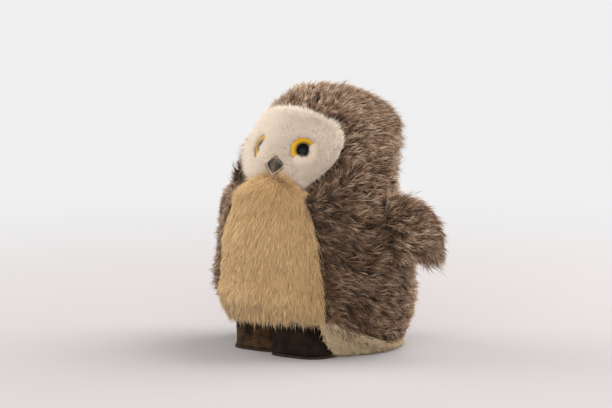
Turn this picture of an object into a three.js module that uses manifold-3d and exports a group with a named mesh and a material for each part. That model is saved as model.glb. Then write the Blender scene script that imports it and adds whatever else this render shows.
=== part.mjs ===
// A small stuffed owl that sits upright: fur panels sewn round a filled body, a puffy head with a short-pile
// face, two plastic safety eyes, a folded beak, flat stuffed wings on upright seams, and soft suede feet.
// Millimetres, +Z up. The origin is on the ground under the middle of the base; the owl faces -Y.
import * as THREE from 'three';
import { mergeVertices } from 'three/addons/utils/BufferGeometryUtils.js';
import Module from 'manifold-3d';

const wasm = await Module();
wasm.setup();

// Driving dimensions
const owlHeight = 158;
const bodyWidth = 120.5;
const headWidth = 93;
const furThickness = 5;
const seamGap = 0.3;
const fillingGap = 0.3;
const floorCut = 0.5;
const overrun = 6;

// Body form, from the ground up: height as a share of the owl's height, then half-width and backward shift
// as shares of half the body's width. Sections are ellipses, nearly round.
const bodyRowShares = [
  [-0.01, 0.75, 0.05], [0.0, 0.78, 0.05], [0.016, 0.84, 0.07], [0.038, 0.87, 0.085], [0.07, 0.895, 0.085],
  [0.1, 0.92, 0.07], [0.13, 0.953, 0.045], [0.18, 0.985, 0.01], [0.24, 1.0, -0.03], [0.3, 0.99, -0.03],
  [0.36, 0.98, -0.04], [0.44, 0.95, -0.07], [0.52, 0.895, -0.09], [0.6, 0.85, -0.09], [0.66, 0.825, -0.06],
  [0.72, 0.805, -0.02], [0.8, 0.79, 0.0],
];

// Head form, from under the cheeks to the crown: height as a share of the owl's height, then half-width,
// backward shift, depth in front and depth behind as shares of half the head's width.
const headRowShares = [
  [0.58, 0.8, -0.06, 0.82, 0.82], [0.637, 0.91, -0.05, 0.9, 0.88], [0.675, 0.97, -0.04, 0.92, 0.9],
  [0.72, 1.0, -0.02, 0.9, 0.91], [0.765, 0.98, 0.02, 0.88, 0.9], [0.81, 0.885, 0.09, 0.9, 0.89],
  [0.857, 0.78, 0.19, 0.93, 0.91], [0.904, 0.68, 0.19, 0.84, 0.8], [0.934, 0.58, 0.18, 0.71, 0.7],
  [0.965, 0.47, 0.15, 0.5, 0.49], [0.988, 0.31, 0.13, 0.32, 0.31], [1.0, 0.002, 0.13, 0.002, 0.002],
];
const headFrontPower = 1.8;
const headBackPower = 3;

// Neck seam: degrees from the front, then height as a share of the owl's height. It dips under the cheeks,
// rises over the bib's dome in front and climbs to the nape behind.
const neckSeamShares = [
  [0, 0.688], [13, 0.676], [26, 0.642], [37, 0.637], [48, 0.656], [58, 0.688], [68, 0.73], [80, 0.76],
  [105, 0.77], [180, 0.77],
];
const neckCoreShare = 0.747;
const headMiddleShare = 0.791;
const headShift = 4;
const neckPinch = 2;
const neckRounding = 7;
const neckSeamRadiusShare = 0.75;

// Seam between the bib and the side panels: height share, then degrees either side of the front.
const bibSpanShares = [-0.1, 0.85];
const bibSeamShares = [[0.1, 37], [0.22, 39.3], [0.37, 38.3], [0.52, 36.5], [0.64, 30.5], [0.8, 28]];
// Seam along the top of the base panel: degrees from the front, then height share.
const baseSeamShares = [
  [0, 0.145], [34, 0.145], [46, 0.128], [55, 0.1], [65, 0.076], [78, 0.048], [90, 0.03], [120, 0.018],
  [180, 0.016],
];
const baseSeamSlope = 1;
const baseSeamInnerShare = 0.3;

// Face panel, seen from the front: sideways and height shares of half the head's width, from the beak's
// height. Its lower edge runs on under the neck seam.
const faceCentreShare = 0.772;
const faceCentreHeight = owlHeight * faceCentreShare;
const faceOutlineShares = [
  [0, 0.52], [0.22, 0.495], [0.46, 0.4], [0.6, 0.285], [0.71, 0.12], [0.73, -0.03], [0.68, -0.18],
  [0.57, -0.31], [0.42, -0.43], [0.28, -0.53], [0, -0.62],
];
const gussetHalfWidth = 12;

// Safety eyes
const eyeDiameter = 15;
const eyeSpacing = 31.2;
const eyeRise = 1.2;
const eyeTurn = 34;
const eyeTilt = 21;
const eyeRim = 1.2;
const eyeDome = 2.6;
const eyeSink = 2.6;
const pupilDiameter = 7.4;
const pupilDome = 1.5;
const pupilSeatDepth = 0.8;
const shankDiameter = 4.6;
const shankLength = 11;
const washerDiameter = 12;
const washerThickness = 1.6;
const washerFit = 0.15;
const washerCollar = 0.8;
const washerChamfer = 0.5;
const pupilGap = 0.1;
const eyeClearance = 0.3;
const eyeBackShare = 0.9;
const eyeDomeShares = [1, 0.97, 0.9, 0.8, 0.68];
const shankTipShare = 0.7;
const shankTipLength = 1.2;

// Beak, a folded kite
const beakDrop = 8;
const beakWidth = 12;
const beakLength = 11.4;
const beakShoulderShare = 0.47;
const beakFoldAngle = 14;
const beakFeltThickness = 1.1;
const beakLiningThickness = 0.8;
const beakLayerGap = 0.15;
const beakStandOff = 0.9;
const beakTilt = 18;
const beakReach = 38;

// Wings: a flat stuffed flap each, in its own frame. X runs from the seam to the tip, Z up the seam.
const wingLength = 35;
const wingSeamLow = 57.5;
const wingSeamHigh = 94;
const wingSeamAngle = 84;
const wingSweep = 60;
const wingThickness = 17;
const wingRootThickness = 5;
const wingSkinThickness = 3.2;
const wingThinnest = 0.25;
const wingSeamClearance = 0.8;
const wingSwing = 60;
const wingSwingSteps = 6;
const wingDroop = 12;
// Share of the wing's length, then half-height as a share of the seam's length and a share of the swelling
const wingRowShares = [
  [0.0, 0.44, 0.0], [0.08, 0.465, 0.27], [0.2, 0.49, 0.6], [0.36, 0.5, 0.89], [0.54, 0.48, 1.0],
  [0.7, 0.46, 0.9], [0.84, 0.43, 0.66], [0.94, 0.365, 0.32], [0.985, 0.25, -0.1], [1.0, 0.02, -0.4],
];
const wingRootTurns = [80, 50, 22];

// Feet
const footLength = 39;
const footWidth = 36;
const footHeight = 17.5;
const footInset = 1;
const footFront = 50;
const footStep = 8;
const leftFootTaperShare = 0.24;
const rightFootTaperShare = 0.05;
const footRounding = 4;
const footRoundingShares = [1, 0.6, 0.3, 0.1, 0];
const toeRoom = 18;
const betweenFeet = 5.2;
const suedeThickness = 1.6;
const soleThickness = 1.4;
const soleRim = 0.7;
const insertThickness = 1.5;
const footGap = 0.3;
// Sole outline, as shares of the foot's width and length, from the inner heel corner round the toe
const soleOutlineShares = [
  [0.03, 0.06], [0.0, 0.5], [0.02, 0.93], [0.2, 0.995], [0.5, 1.0], [0.76, 0.97], [0.91, 0.87],
  [0.99, 0.62], [0.97, 0.3], [0.88, 0.05], [0.7, 0.0], [0.2, 0.0],
];

// How finely the forms are divided
const outerColumns = 44;
const innerColumns = 22;
const bodyRows = 16;
const innerBodyRows = 10;
const bodyRowCrowding = 1.3;
const headRows = 15;
const innerHeadRows = 9;
const bibSeamRows = 24;
const faceOutlineSteps = 72;
const soleOutlineSteps = 26;
const eyeSegments = 24;
const eyeRoomSegments = 16;
const pupilSteps = 7;
const wingColumns = 18;

const colours = {
  brownFur: 0x6d5a4b, tanFur: 0xc8a878, creamPile: 0xe3d8c6, baseCloth: 0xc8b489, suede: 0x3d2a1d,
  soleEdge: 0x7d5f42, iris: 0xe0a800, pupil: 0x0b0b0c, beak: 0x5f5148, lining: 0x8a6a48, filling: 0xf1eee6,
  card: 0xb39b74, washer: 0xe9e7e0,
};

// Finds smooth values between the rows of a table by their first column (a Catmull-Rom run through them).
function smoothRow(table, at) {
  let i = 0;
  while (i < table.length - 2 && at > table[i + 1][0]) i += 1;
  const [before, low, high, after] = [table[Math.max(i - 1, 0)], table[i], table[i + 1],
    table[Math.min(i + 2, table.length - 1)]];
  const span = high[0] - low[0];
  const t = THREE.MathUtils.clamp((at - low[0]) / span, 0, 1);
  return low.map((value, k) => {
    const slopeLow = ((high[k] - before[k]) / (high[0] - before[0])) * span;
    const slopeHigh = ((after[k] - value) / (after[0] - low[0])) * span;
    const t2 = t * t;
    const t3 = t2 * t;
    return (2 * t3 - 3 * t2 + 1) * value + (t3 - 2 * t2 + t) * slopeLow
      + (3 * t2 - 2 * t3) * high[k] + (t3 - t2) * slopeHigh;
  });
}

const degreesFromFront = (angle) => THREE.MathUtils.radToDeg(Math.abs(angle));
const neckHeight = (angle) => owlHeight * smoothRow(neckSeamShares, degreesFromFront(angle))[1];

// A point of the body's or head's rounded outline at a height, before the neck draws it in.
function bodyOutline(angle, height) {
  const half = bodyWidth / 2;
  const [, widthShare, shiftShare] = smoothRow(bodyRowShares, height / owlHeight);
  const radius = half * widthShare;
  return new THREE.Vector3(radius * Math.sin(angle), half * shiftShare - radius * Math.cos(angle), height);
}

// The head's sections are fuller and squarer behind than in front.
function headOutline(angle, height) {
  const half = headWidth / 2;
  const [, width, shift, front, back] = smoothRow(headRowShares, height / owlHeight)
    .map((share) => share * half);
  const ahead = Math.cos(angle) > 0;
  const power = ahead ? headFrontPower : headBackPower;
  const across = Math.abs(Math.sin(angle)) / width;
  const along = Math.abs(Math.cos(angle)) / (ahead ? front : back);
  const radius = 1 / (across ** power + along ** power) ** (1 / power);
  return new THREE.Vector3(radius * Math.sin(angle), shift - radius * Math.cos(angle), height);
}

// The neck seam's own line: just inside whichever outline is the slimmer there.
function neckPoint(angle) {
  const height = neckHeight(angle);
  const [body, head] = [bodyOutline(angle, height), headOutline(angle, height)];
  const slimmer = Math.hypot(body.x, body.y) < Math.hypot(head.x, head.y) ? body : head;
  const inwards = 1 - neckPinch / Math.hypot(slimmer.x, slimmer.y);
  return new THREE.Vector3(slimmer.x * inwards, slimmer.y * inwards, height);
}

// An outline point drawn in towards the neck seam, like the rounded end of a filled bag, then pulled under
// the fur by a depth, towards the axis below and towards the head's middle above.
function towardsNeck(outline, angle, away) {
  const left = 1 - THREE.MathUtils.clamp(away / neckRounding, 0, 1);
  const neck = neckPoint(angle);
  neck.z = outline.z;
  return neck.lerp(outline, Math.sqrt(1 - left * left));
}

function pulledIn(point, centre, depth) {
  const away = point.clone().sub(centre);
  return away.setLength(Math.max(away.length() - depth, 0)).add(centre);
}

function bodyPoint(angle, height, depth) {
  const point = towardsNeck(bodyOutline(angle, height), angle, neckHeight(angle) - height);
  return pulledIn(point, new THREE.Vector3(0, 0, height), depth);
}

function headPoint(angle, height, depth) {
  const point = towardsNeck(headOutline(angle, height), angle, height - neckHeight(angle));
  return pulledIn(point, new THREE.Vector3(0, headShift, owlHeight * headMiddleShare), depth);
}

function bufferOf(points, triangles) {
  const geometry = new THREE.BufferGeometry();
  geometry.setAttribute('position', new THREE.Float32BufferAttribute(points.flatMap((p) => p.toArray()), 3));
  geometry.setIndex(triangles);
  return geometry;
}

// A closed body from rings of points, lowest first and anticlockwise from above, with a fan at each end.
function ringBody(rings) {
  const count = rings[0].length;
  const points = rings.flat();
  const triangles = [];
  for (let row = 0; row < rings.length - 1; row += 1) {
    for (let i = 0; i < count; i += 1) {
      const a = row * count + i;
      const b = row * count + ((i + 1) % count);
      triangles.push(a, b, b + count, a, b + count, a + count);
    }
  }
  const middle = (ring) => ring.reduce((sum, p) => sum.add(p), new THREE.Vector3()).divideScalar(count);
  const bottom = points.push(middle(rings[0])) - 1;
  const top = points.push(middle(rings[rings.length - 1])) - 1;
  const last = (rings.length - 1) * count;
  for (let i = 0; i < count; i += 1) {
    const next = (i + 1) % count;
    triangles.push(bottom, next, i, top, last + i, last + next);
  }
  return bufferOf(points, triangles);
}

function solid(geometry) {
  const bare = geometry.clone();
  bare.deleteAttribute('normal');
  bare.deleteAttribute('uv');
  const merged = mergeVertices(bare);
  const triangles = [];
  for (let i = 0; i < merged.index.count; i += 3) {
    const corners = [0, 1, 2].map((k) => merged.index.getX(i + k));
    if (new Set(corners).size === corners.length) triangles.push(...corners);
  }
  return new wasm.Manifold(new wasm.Mesh({
    numProp: 3,
    vertProperties: new Float32Array(merged.attributes.position.array),
    triVerts: new Uint32Array(triangles),
  }));
}

function geometryOf(body) {
  const { vertProperties, triVerts } = body.getMesh();
  const geometry = new THREE.BufferGeometry();
  geometry.setAttribute('position', new THREE.BufferAttribute(vertProperties, 3));
  geometry.setIndex(new THREE.BufferAttribute(triVerts, 1));
  geometry.computeVertexNormals();
  return geometry;
}

const placed = (geometry, matrix) => geometry.clone().applyMatrix4(matrix);

// A slab of space on one side of the middle plane, for cutting left from right.
function sideSlab(side, from) {
  const reach = owlHeight * 2;
  const slab = new THREE.BoxGeometry(reach, reach, reach);
  slab.translate(side * (reach / 2 + from), 0, 0);
  return solid(slab);
}

function ringAngles(count) {
  return Array.from({ length: count }, (_, i) => (i / count) * 2 * Math.PI - Math.PI);
}

// The body as one closed form, drawn in by the given depth, from the floor cut up into the head.
function bodyForm(depth, floor, columns, rows) {
  const angles = ringAngles(columns);
  const low = -floorCut + floor;
  const high = owlHeight * bodyRowShares[bodyRowShares.length - 1][0];
  const rings = Array.from({ length: rows + 1 }, (_, row) => {
    const share = row / rows;
    const height = low + (high - low) * share ** bodyRowCrowding;
    return angles.map((angle) => bodyPoint(angle, height, depth));
  });
  return solid(ringBody(rings));
}

// The head as one closed form. Rows crowd together towards the crown.
function headForm(depth, columns, rows) {
  const angles = ringAngles(columns);
  const low = owlHeight * headRowShares[0][0];
  const rings = Array.from({ length: rows }, (_, row) => {
    const height = low + (owlHeight - low) * Math.sin(((row / rows) * Math.PI) / 2);
    return angles.map((angle) => headPoint(angle, height, depth));
  });
  rings.push(angles.map(() => headPoint(0, owlHeight, depth)));
  return solid(ringBody(rings));
}

// Everything below the neck seam's surface, which cones up from the seam to the neck's core.
function belowNeck(lift) {
  const angles = ringAngles(outerColumns);
  const seamRadius = (bodyWidth / 2) * neckSeamRadiusShare;
  const centre = new THREE.Vector3(0, 0, owlHeight * neckCoreShare + lift);
  const ring = (radius, rise) => angles.map((angle) => new THREE.Vector3(
    radius * Math.sin(angle), -radius * Math.cos(angle), neckHeight(angle) + lift + rise,
  ));
  const ground = angles.map((angle) => new THREE.Vector3(
    owlHeight * Math.sin(angle), -owlHeight * Math.cos(angle), -owlHeight,
  ));
  const rings = [ground, ring(owlHeight, 0), ring(seamRadius, 0), angles.map(() => centre.clone())];
  return solid(ringBody(rings));
}

// Everything below the base panel's top seam, which slopes up inwards through the fur.
function belowBaseSeam(lift) {
  const angles = ringAngles(outerColumns);
  const half = bodyWidth / 2;
  const ring = (radius, drop) => angles.map((angle) => {
    const seam = owlHeight * smoothRow(baseSeamShares, degreesFromFront(angle))[1];
    const surface = bodyPoint(angle, seam, 0);
    const out = Math.hypot(surface.x, surface.y);
    const height = drop === null ? -owlHeight : seam + lift + (out - radius) * baseSeamSlope;
    return new THREE.Vector3(radius * Math.sin(angle), -radius * Math.cos(angle), height);
  });
  const top = angles.map(() => new THREE.Vector3(0, 0, half + lift));
  const inner = ring(half * baseSeamInnerShare, 0);
  return solid(ringBody([ring(bodyWidth, null), ring(bodyWidth, 0), inner, top]));
}

// The wedge of space in front of the body between the two bib seams.
function bibWedge(widen) {
  const rings = Array.from({ length: bibSeamRows + 1 }, (_, row) => {
    const height = owlHeight * THREE.MathUtils.lerp(...bibSpanShares, row / bibSeamRows);
    const seam = THREE.MathUtils.degToRad(smoothRow(bibSeamShares, height / owlHeight)[1]);
    const corner = (side) => new THREE.Vector3(
      side * (bodyWidth * Math.sin(seam) + widen), -bodyWidth * Math.cos(seam), height,
    );
    return [new THREE.Vector3(0, widen, height), corner(-1), new THREE.Vector3(0, -bodyWidth * 2, height),
      corner(1)];
  });
  return solid(ringBody(rings));
}

// A prism through the front of the head with the face panel's outline, seen from the front.
function facePrism(widen) {
  const half = headWidth / 2;
  const right = faceOutlineShares.map(([x, z]) => new THREE.Vector2(x * half, z * half));
  const left = right.slice(1, -1).reverse().map((p) => new THREE.Vector2(-p.x, p.y));
  const outline = [...right, ...left].map((p) => p.setLength(p.length() + widen));
  const curve = new THREE.SplineCurve([...outline, outline[0]]);
  const shape = new THREE.Shape(curve.getPoints(faceOutlineSteps).slice(0, -1));
  const prism = new THREE.ExtrudeGeometry(shape, { depth: headWidth, bevelEnabled: false });
  prism.rotateX(Math.PI / 2);
  prism.translate(0, 0, faceCentreHeight);
  return solid(prism);
}

// A foot's block: its sole outline, drawn in by shrink and carried up from low to high, its outer side
// leaning in, more on the left foot, and its top edge rounded. Reach lengthens it past the toe.
function footBlock(side, shrink, low, high, rounding, reach = 0) {
  const taperShare = side < 0 ? rightFootTaperShare : leftFootTaperShare;
  const stretch = 1 + reach / footLength;
  const corners = soleOutlineShares.map(([x, y]) => new THREE.Vector3(
    x * footWidth, -y * footLength * stretch, 0,
  ));
  const curve = new THREE.CatmullRomCurve3(corners, true, 'centripetal');
  const outline = curve.getPoints(soleOutlineSteps).slice(0, -1);
  const middle = new THREE.Vector3(footWidth / 2, (-footLength * stretch) / 2, 0);
  const roundShares = rounding > 0 ? footRoundingShares : [0];
  const heights = [low, ...roundShares.map((share) => high - share * rounding)];
  const rings = heights.map((height) => {
    const fromTop = rounding > 0 ? Math.min((high - height) / rounding, 1) : 1;
    const rounded = rounding * (1 - Math.sqrt(1 - (1 - fromTop) ** 2));
    const slope = 1 - (taperShare * height) / footHeight;
    return outline.map((p) => {
      const drawnIn = pulledIn(p, middle, shrink + rounded);
      return new THREE.Vector3(drawnIn.x * slope, drawnIn.y, height);
    });
  });
  return solid(ringBody(rings));
}

const footPlace = (side) => new THREE.Matrix4().makeTranslation(
  side * footInset, footLength - footFront + (side < 0 ? footStep : 0), 0,
);
const onSide = (body, side) => (side < 0 ? body.mirror([1, 0, 0]) : body);
const moved = (body, matrix) => body.transform(matrix.elements);

const material = (colour, roughness, metalness = 0) => new THREE.MeshStandardMaterial({
  color: colour, roughness, metalness,
});
const soft = (colour) => material(colour, 0.95);

const owl = new THREE.Group();

function add(group, name, body, look) {
  const mesh = new THREE.Mesh(body instanceof THREE.BufferGeometry ? body : geometryOf(body), look);
  mesh.name = name;
  group.add(mesh);
  return mesh;
}

// The eye's own frame: on the face, its axis turned outwards and up, and the disc sunk into the pile.
function eyeMatrix(side) {
  const half = headWidth / 2;
  const height = faceCentreHeight + eyeRise;
  const [, width, shift, front] = smoothRow(headRowShares, height / owlHeight)
    .map((share) => share * half);
  const across = eyeSpacing / 2;
  const ahead = front * (1 - (across / width) ** headFrontPower) ** (1 / headFrontPower);
  const place = new THREE.Vector3(side * across, shift - ahead, height);
  const turn = new THREE.Euler(
    THREE.MathUtils.degToRad(-eyeTilt), 0, THREE.MathUtils.degToRad(side * eyeTurn), 'ZXY',
  );
  const aim = new THREE.Matrix4().makeRotationFromEuler(turn);
  return new THREE.Matrix4().makeTranslation(place.x, place.y, place.z).multiply(aim);
}

// Turned parts stand on the lathe's Y axis; this points that axis out of the face, along -Y.
const outOfFace = new THREE.Matrix4().makeRotationX(Math.PI);

function latheOf(profile, segments = eyeSegments) {
  return new THREE.LatheGeometry(profile.map(([r, y]) => new THREE.Vector2(r, y)), segments);
}

// How far the eye's domed front stands out at a distance from its middle.
function eyeDomeAt(radius) {
  return eyeRim + (eyeDome - eyeRim) * Math.sqrt(1 - (radius / (eyeDiameter / 2)) ** 2);
}

// Yellow disc with a domed front, a seat for the pupil and the shank behind, one moulding.
function irisGeometry() {
  const rim = eyeDiameter / 2;
  const seat = pupilDiameter / 2 + washerFit;
  const shank = shankDiameter / 2;
  const dome = eyeDomeShares.map((share) => [rim * share, eyeDomeAt(rim * share)]);
  const floor = eyeDomeAt(seat) - pupilSeatDepth;
  return latheOf([
    [0, -shankLength], [shank * shankTipShare, -shankLength], [shank, shankTipLength - shankLength],
    [shank, -eyeRim / 2], [rim * eyeBackShare, -eyeRim / 2], [rim, 0], ...dome, [seat, eyeDomeAt(seat)],
    [seat, floor], [0, floor],
  ]);
}

// Black dome that sits in the iris's seat.
function pupilGeometry() {
  const radius = pupilDiameter / 2;
  const edge = eyeDomeAt(radius);
  const foot = edge - pupilSeatDepth + pupilGap;
  const dome = Array.from({ length: pupilSteps }, (_, i) => {
    const turn = (i / pupilSteps) * (Math.PI / 2);
    return [radius * Math.cos(turn), edge + pupilDome * Math.sin(turn)];
  });
  return latheOf([[0, foot], [radius, foot], ...dome, [0, edge + pupilDome]]);
}

// Lock washer pushed up the shank behind the face panel, with a raised collar.
function washerGeometry() {
  const bore = shankDiameter / 2 + washerFit;
  const outer = washerDiameter / 2;
  const collar = bore + washerCollar;
  const front = eyeSink - furThickness - eyeClearance;
  const back = front - washerThickness;
  return latheOf([
    [bore, back - washerCollar], [collar, back - washerCollar], [collar, back],
    [outer - washerChamfer, back], [outer, back + washerChamfer], [outer, front], [bore, front],
    [bore, back - washerCollar],
  ]);
}

// Room for an eye: the disc's seat in the pile, the shank's hole and the washer's pocket.
function eyeRoom(side) {
  const disc = eyeDiameter / 2 + eyeClearance;
  const shank = shankDiameter / 2 + eyeClearance;
  const pocket = washerDiameter / 2 + eyeClearance;
  const washerFront = eyeSink - furThickness;
  const washerBack = washerFront - washerThickness - washerCollar - eyeClearance * 2;
  const end = -shankLength - eyeClearance;
  const room = latheOf([
    [0, end], [shank, end], [shank, washerBack], [pocket, washerBack], [pocket, washerFront],
    [shank, washerFront], [shank, -eyeRim / 2 - eyeClearance], [disc, -eyeRim / 2 - eyeClearance],
    [disc, overrun], [0, overrun],
  ], eyeRoomSegments);
  const sink = new THREE.Matrix4().makeTranslation(0, -eyeSink, 0);
  return solid(placed(room, eyeMatrix(side).multiply(outOfFace).multiply(sink)));
}

function addEyes(group) {
  for (const [side, word] of [[1, 'left'], [-1, 'right']]) {
    const eye = new THREE.Group();
    eyeMatrix(side).multiply(outOfFace).decompose(eye.position, eye.quaternion, eye.scale);
    const seat = new THREE.Group();
    seat.position.set(0, -eyeSink, 0);
    eye.add(seat);
    group.add(eye);
    add(seat, `eye_iris_${word}`, irisGeometry(), material(colours.iris, 0.25));
    add(seat, `eye_pupil_${word}`, pupilGeometry(), material(colours.pupil, 0.08));
    add(seat, `eye_washer_${word}`, washerGeometry(), material(colours.washer, 0.5));
  }
}

// A chevron-folded strip, its ridge upright and facing -Y, starting a given depth behind the ridge.
function foldedStrip(nearest, thickness) {
  const half = beakWidth;
  const drop = half * Math.tan(THREE.MathUtils.degToRad(beakFoldAngle));
  const shape = new THREE.Shape([
    [0, nearest], [half, nearest + drop], [half, nearest + thickness + drop], [0, nearest + thickness],
    [-half, nearest + thickness + drop], [-half, nearest + drop],
  ].map(([x, y]) => new THREE.Vector2(x, y)));
  const strip = new THREE.ExtrudeGeometry(shape, { depth: beakLength * 2, bevelEnabled: false });
  strip.translate(0, 0, -beakLength);
  return solid(strip);
}

// One layer of the beak: the folded strip cut to a kite seen from the front.
function beakLayer(nearest, thickness, inset) {
  const half = beakWidth / 2 - inset;
  const shoulder = beakLength / 2 - beakLength * beakShoulderShare;
  const kite = new THREE.Shape([
    [0, beakLength / 2 - inset], [-half, shoulder], [0, -beakLength / 2 + inset], [half, shoulder],
  ].map(([x, y]) => new THREE.Vector2(x, y)));
  const prism = new THREE.ExtrudeGeometry(kite, { depth: beakReach, bevelEnabled: false });
  prism.translate(0, 0, -beakReach / 2);
  prism.rotateX(Math.PI / 2);
  return foldedStrip(nearest, thickness).intersect(solid(prism));
}

function beakMatrix() {
  const height = faceCentreHeight - beakDrop;
  const face = headPoint(0, height, 0);
  const lean = new THREE.Matrix4().makeRotationX(THREE.MathUtils.degToRad(-beakTilt));
  return new THREE.Matrix4().makeTranslation(0, face.y - beakStandOff, height).multiply(lean);
}

// The fur panels, face and beak, cut from the two forms; the beak lies in a pocket parted in the pile.
// Hands back the space the body keeps clear.
function buildHeadAndBody() {
  const underFur = furThickness + fillingGap;
  const bodyOuter = bodyForm(0, 0, outerColumns, bodyRows);
  const bodyInner = bodyForm(furThickness, furThickness + floorCut, innerColumns, innerBodyRows);
  const bodyCore = bodyForm(underFur, underFur + floorCut, innerColumns, innerBodyRows);
  const headOuter = headForm(0, outerColumns, headRows);
  const headInner = headForm(furThickness, innerColumns, innerHeadRows);
  const headCore = headForm(underFur, innerColumns, innerHeadRows);

  const ground = new THREE.BoxGeometry(owlHeight * 2, owlHeight * 2, owlHeight);
  ground.translate(0, 0, -owlHeight / 2);
  const floorBlock = solid(ground);
  const belowSeam = belowNeck(0);
  const aboveSeam = belowNeck(seamGap);
  let bodyShell = bodyOuter.subtract(bodyInner).intersect(belowSeam).subtract(floorBlock);
  let bodyFilling = bodyCore.intersect(belowNeck(-fillingGap));
  const headShell = headOuter.subtract(headInner).subtract(aboveSeam);
  let headFilling = headCore.subtract(aboveSeam);

  const between = new THREE.BoxGeometry(betweenFeet, footLength + toeRoom, footHeight * 2);
  between.translate(0, (footLength - toeRoom) / 2 - footFront, 0);
  const rooms = [solid(between)];
  for (const side of [1, -1]) {
    for (const reach of [0, toeRoom]) {
      const cover = footBlock(side, -footGap, -overrun, footHeight + footGap, footRounding, reach);
      const sole = footBlock(side, -soleRim - footGap, -overrun, soleThickness + footGap, 0, reach);
      rooms.push(moved(onSide(cover.add(sole), side), footPlace(side)));
    }
  }
  const beakFrame = beakMatrix();
  const liningStart = beakFeltThickness + beakLayerGap;
  const beakDepth = liningStart + beakLiningThickness + seamGap;
  const beakRoom = moved(beakLayer(-overrun, overrun + beakDepth, -seamGap), beakFrame);
  rooms.push(beakRoom);
  for (const room of rooms) {
    bodyShell = bodyShell.subtract(room);
    bodyFilling = bodyFilling.subtract(room);
  }

  const half = seamGap / 2;
  const basePanel = bodyShell.intersect(belowBaseSeam(-half));
  const upperShell = bodyShell.subtract(belowBaseSeam(half));
  const bib = upperShell.intersect(bibWedge(-seamGap));
  const sides = upperShell.subtract(bibWedge(seamGap));
  add(owl, 'base_panel', basePanel, soft(colours.baseCloth));
  add(owl, 'bib_panel', bib, soft(colours.tanFur));
  for (const [side, word] of [[1, 'left'], [-1, 'right']]) {
    add(owl, `side_panel_${word}`, sides.intersect(sideSlab(side, half)), soft(colours.brownFur));
  }
  add(owl, 'body_filling', bodyFilling, soft(colours.filling));

  let face = headShell.intersect(facePrism(-half)).subtract(beakRoom);
  const hood = headShell.subtract(facePrism(half));
  for (const side of [1, -1]) {
    face = face.subtract(eyeRoom(side));
    headFilling = headFilling.subtract(eyeRoom(side));
  }
  const leftOfGusset = sideSlab(1, gussetHalfWidth - half);
  const rightOfGusset = sideSlab(-1, gussetHalfWidth - half);
  add(owl, 'crown_gusset', hood.subtract(leftOfGusset).subtract(rightOfGusset), soft(colours.brownFur));
  for (const [side, word] of [[1, 'left'], [-1, 'right']]) {
    const hoodSide = hood.intersect(sideSlab(side, gussetHalfWidth + half));
    add(owl, `hood_side_${word}`, hoodSide, soft(colours.brownFur));
  }
  add(owl, 'face_panel', face, soft(colours.creamPile));
  add(owl, 'head_filling', headFilling, soft(colours.filling));

  const felt = moved(beakLayer(0, beakFeltThickness, 0), beakFrame);
  const lining = moved(beakLayer(liningStart, beakLiningThickness, beakFeltThickness / 2), beakFrame);
  add(owl, 'beak_felt', felt, material(colours.beak, 0.8));
  add(owl, 'beak_lining', lining, material(colours.lining, 0.85));
  return bodyForm(-seamGap, 0, outerColumns, bodyRows);
}

// A wing's closed form in its own frame, drawn in by a depth: X runs from the seam to the tip, Z up the
// seam. Its root is a half round about the seam, so that the wing can swing there.
function wingForm(depth, columns) {
  const seamLength = wingSeamHigh - wingSeamLow;
  const root = wingRootThickness / 2;
  const swelling = wingThickness / 2 - root;
  const ring = (along, tall, thick, droop) => Array.from({ length: columns }, (_, i) => {
    const turn = (i / columns) * 2 * Math.PI;
    return new THREE.Vector3(
      along,
      Math.max(thick, wingThinnest) * Math.cos(turn),
      Math.max(tall, wingThinnest) * Math.sin(turn) - droop,
    );
  });
  const rings = wingRowShares.map(([share, tallShare, swellShare]) => ring(
    THREE.MathUtils.lerp(depth, wingLength - depth, share), tallShare * seamLength - depth,
    root + swellShare * swelling - depth, wingDroop * share * share,
  ));
  if (depth === 0) {
    const tall = wingRowShares[0][1] * seamLength;
    const roundRings = wingRootTurns.map((degrees) => {
      const turn = THREE.MathUtils.degToRad(degrees);
      return ring(-root * Math.sin(turn), tall, root * Math.cos(turn), 0);
    });
    rings.unshift(...roundRings);
  }
  return solid(ringBody(rings));
}

// Where a wing hangs: on the line of its seam up the body's side, a root's half thickness clear of the fur.
function wingMatrix() {
  const angle = THREE.MathUtils.degToRad(wingSeamAngle);
  const [low, high] = [wingSeamLow, wingSeamHigh].map((height) => bodyPoint(
    angle, height, -(wingRootThickness / 2 + wingSeamClearance),
  ));
  const up = high.clone().sub(low).normalize();
  const sweep = THREE.MathUtils.degToRad(wingSweep);
  const inner = up.clone().cross(new THREE.Vector3(Math.cos(sweep), Math.sin(sweep), 0)).normalize();
  const outwards = inner.clone().cross(up);
  return new THREE.Matrix4().makeBasis(outwards, inner, up).setPosition(low.lerp(high, 0.5));
}

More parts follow.
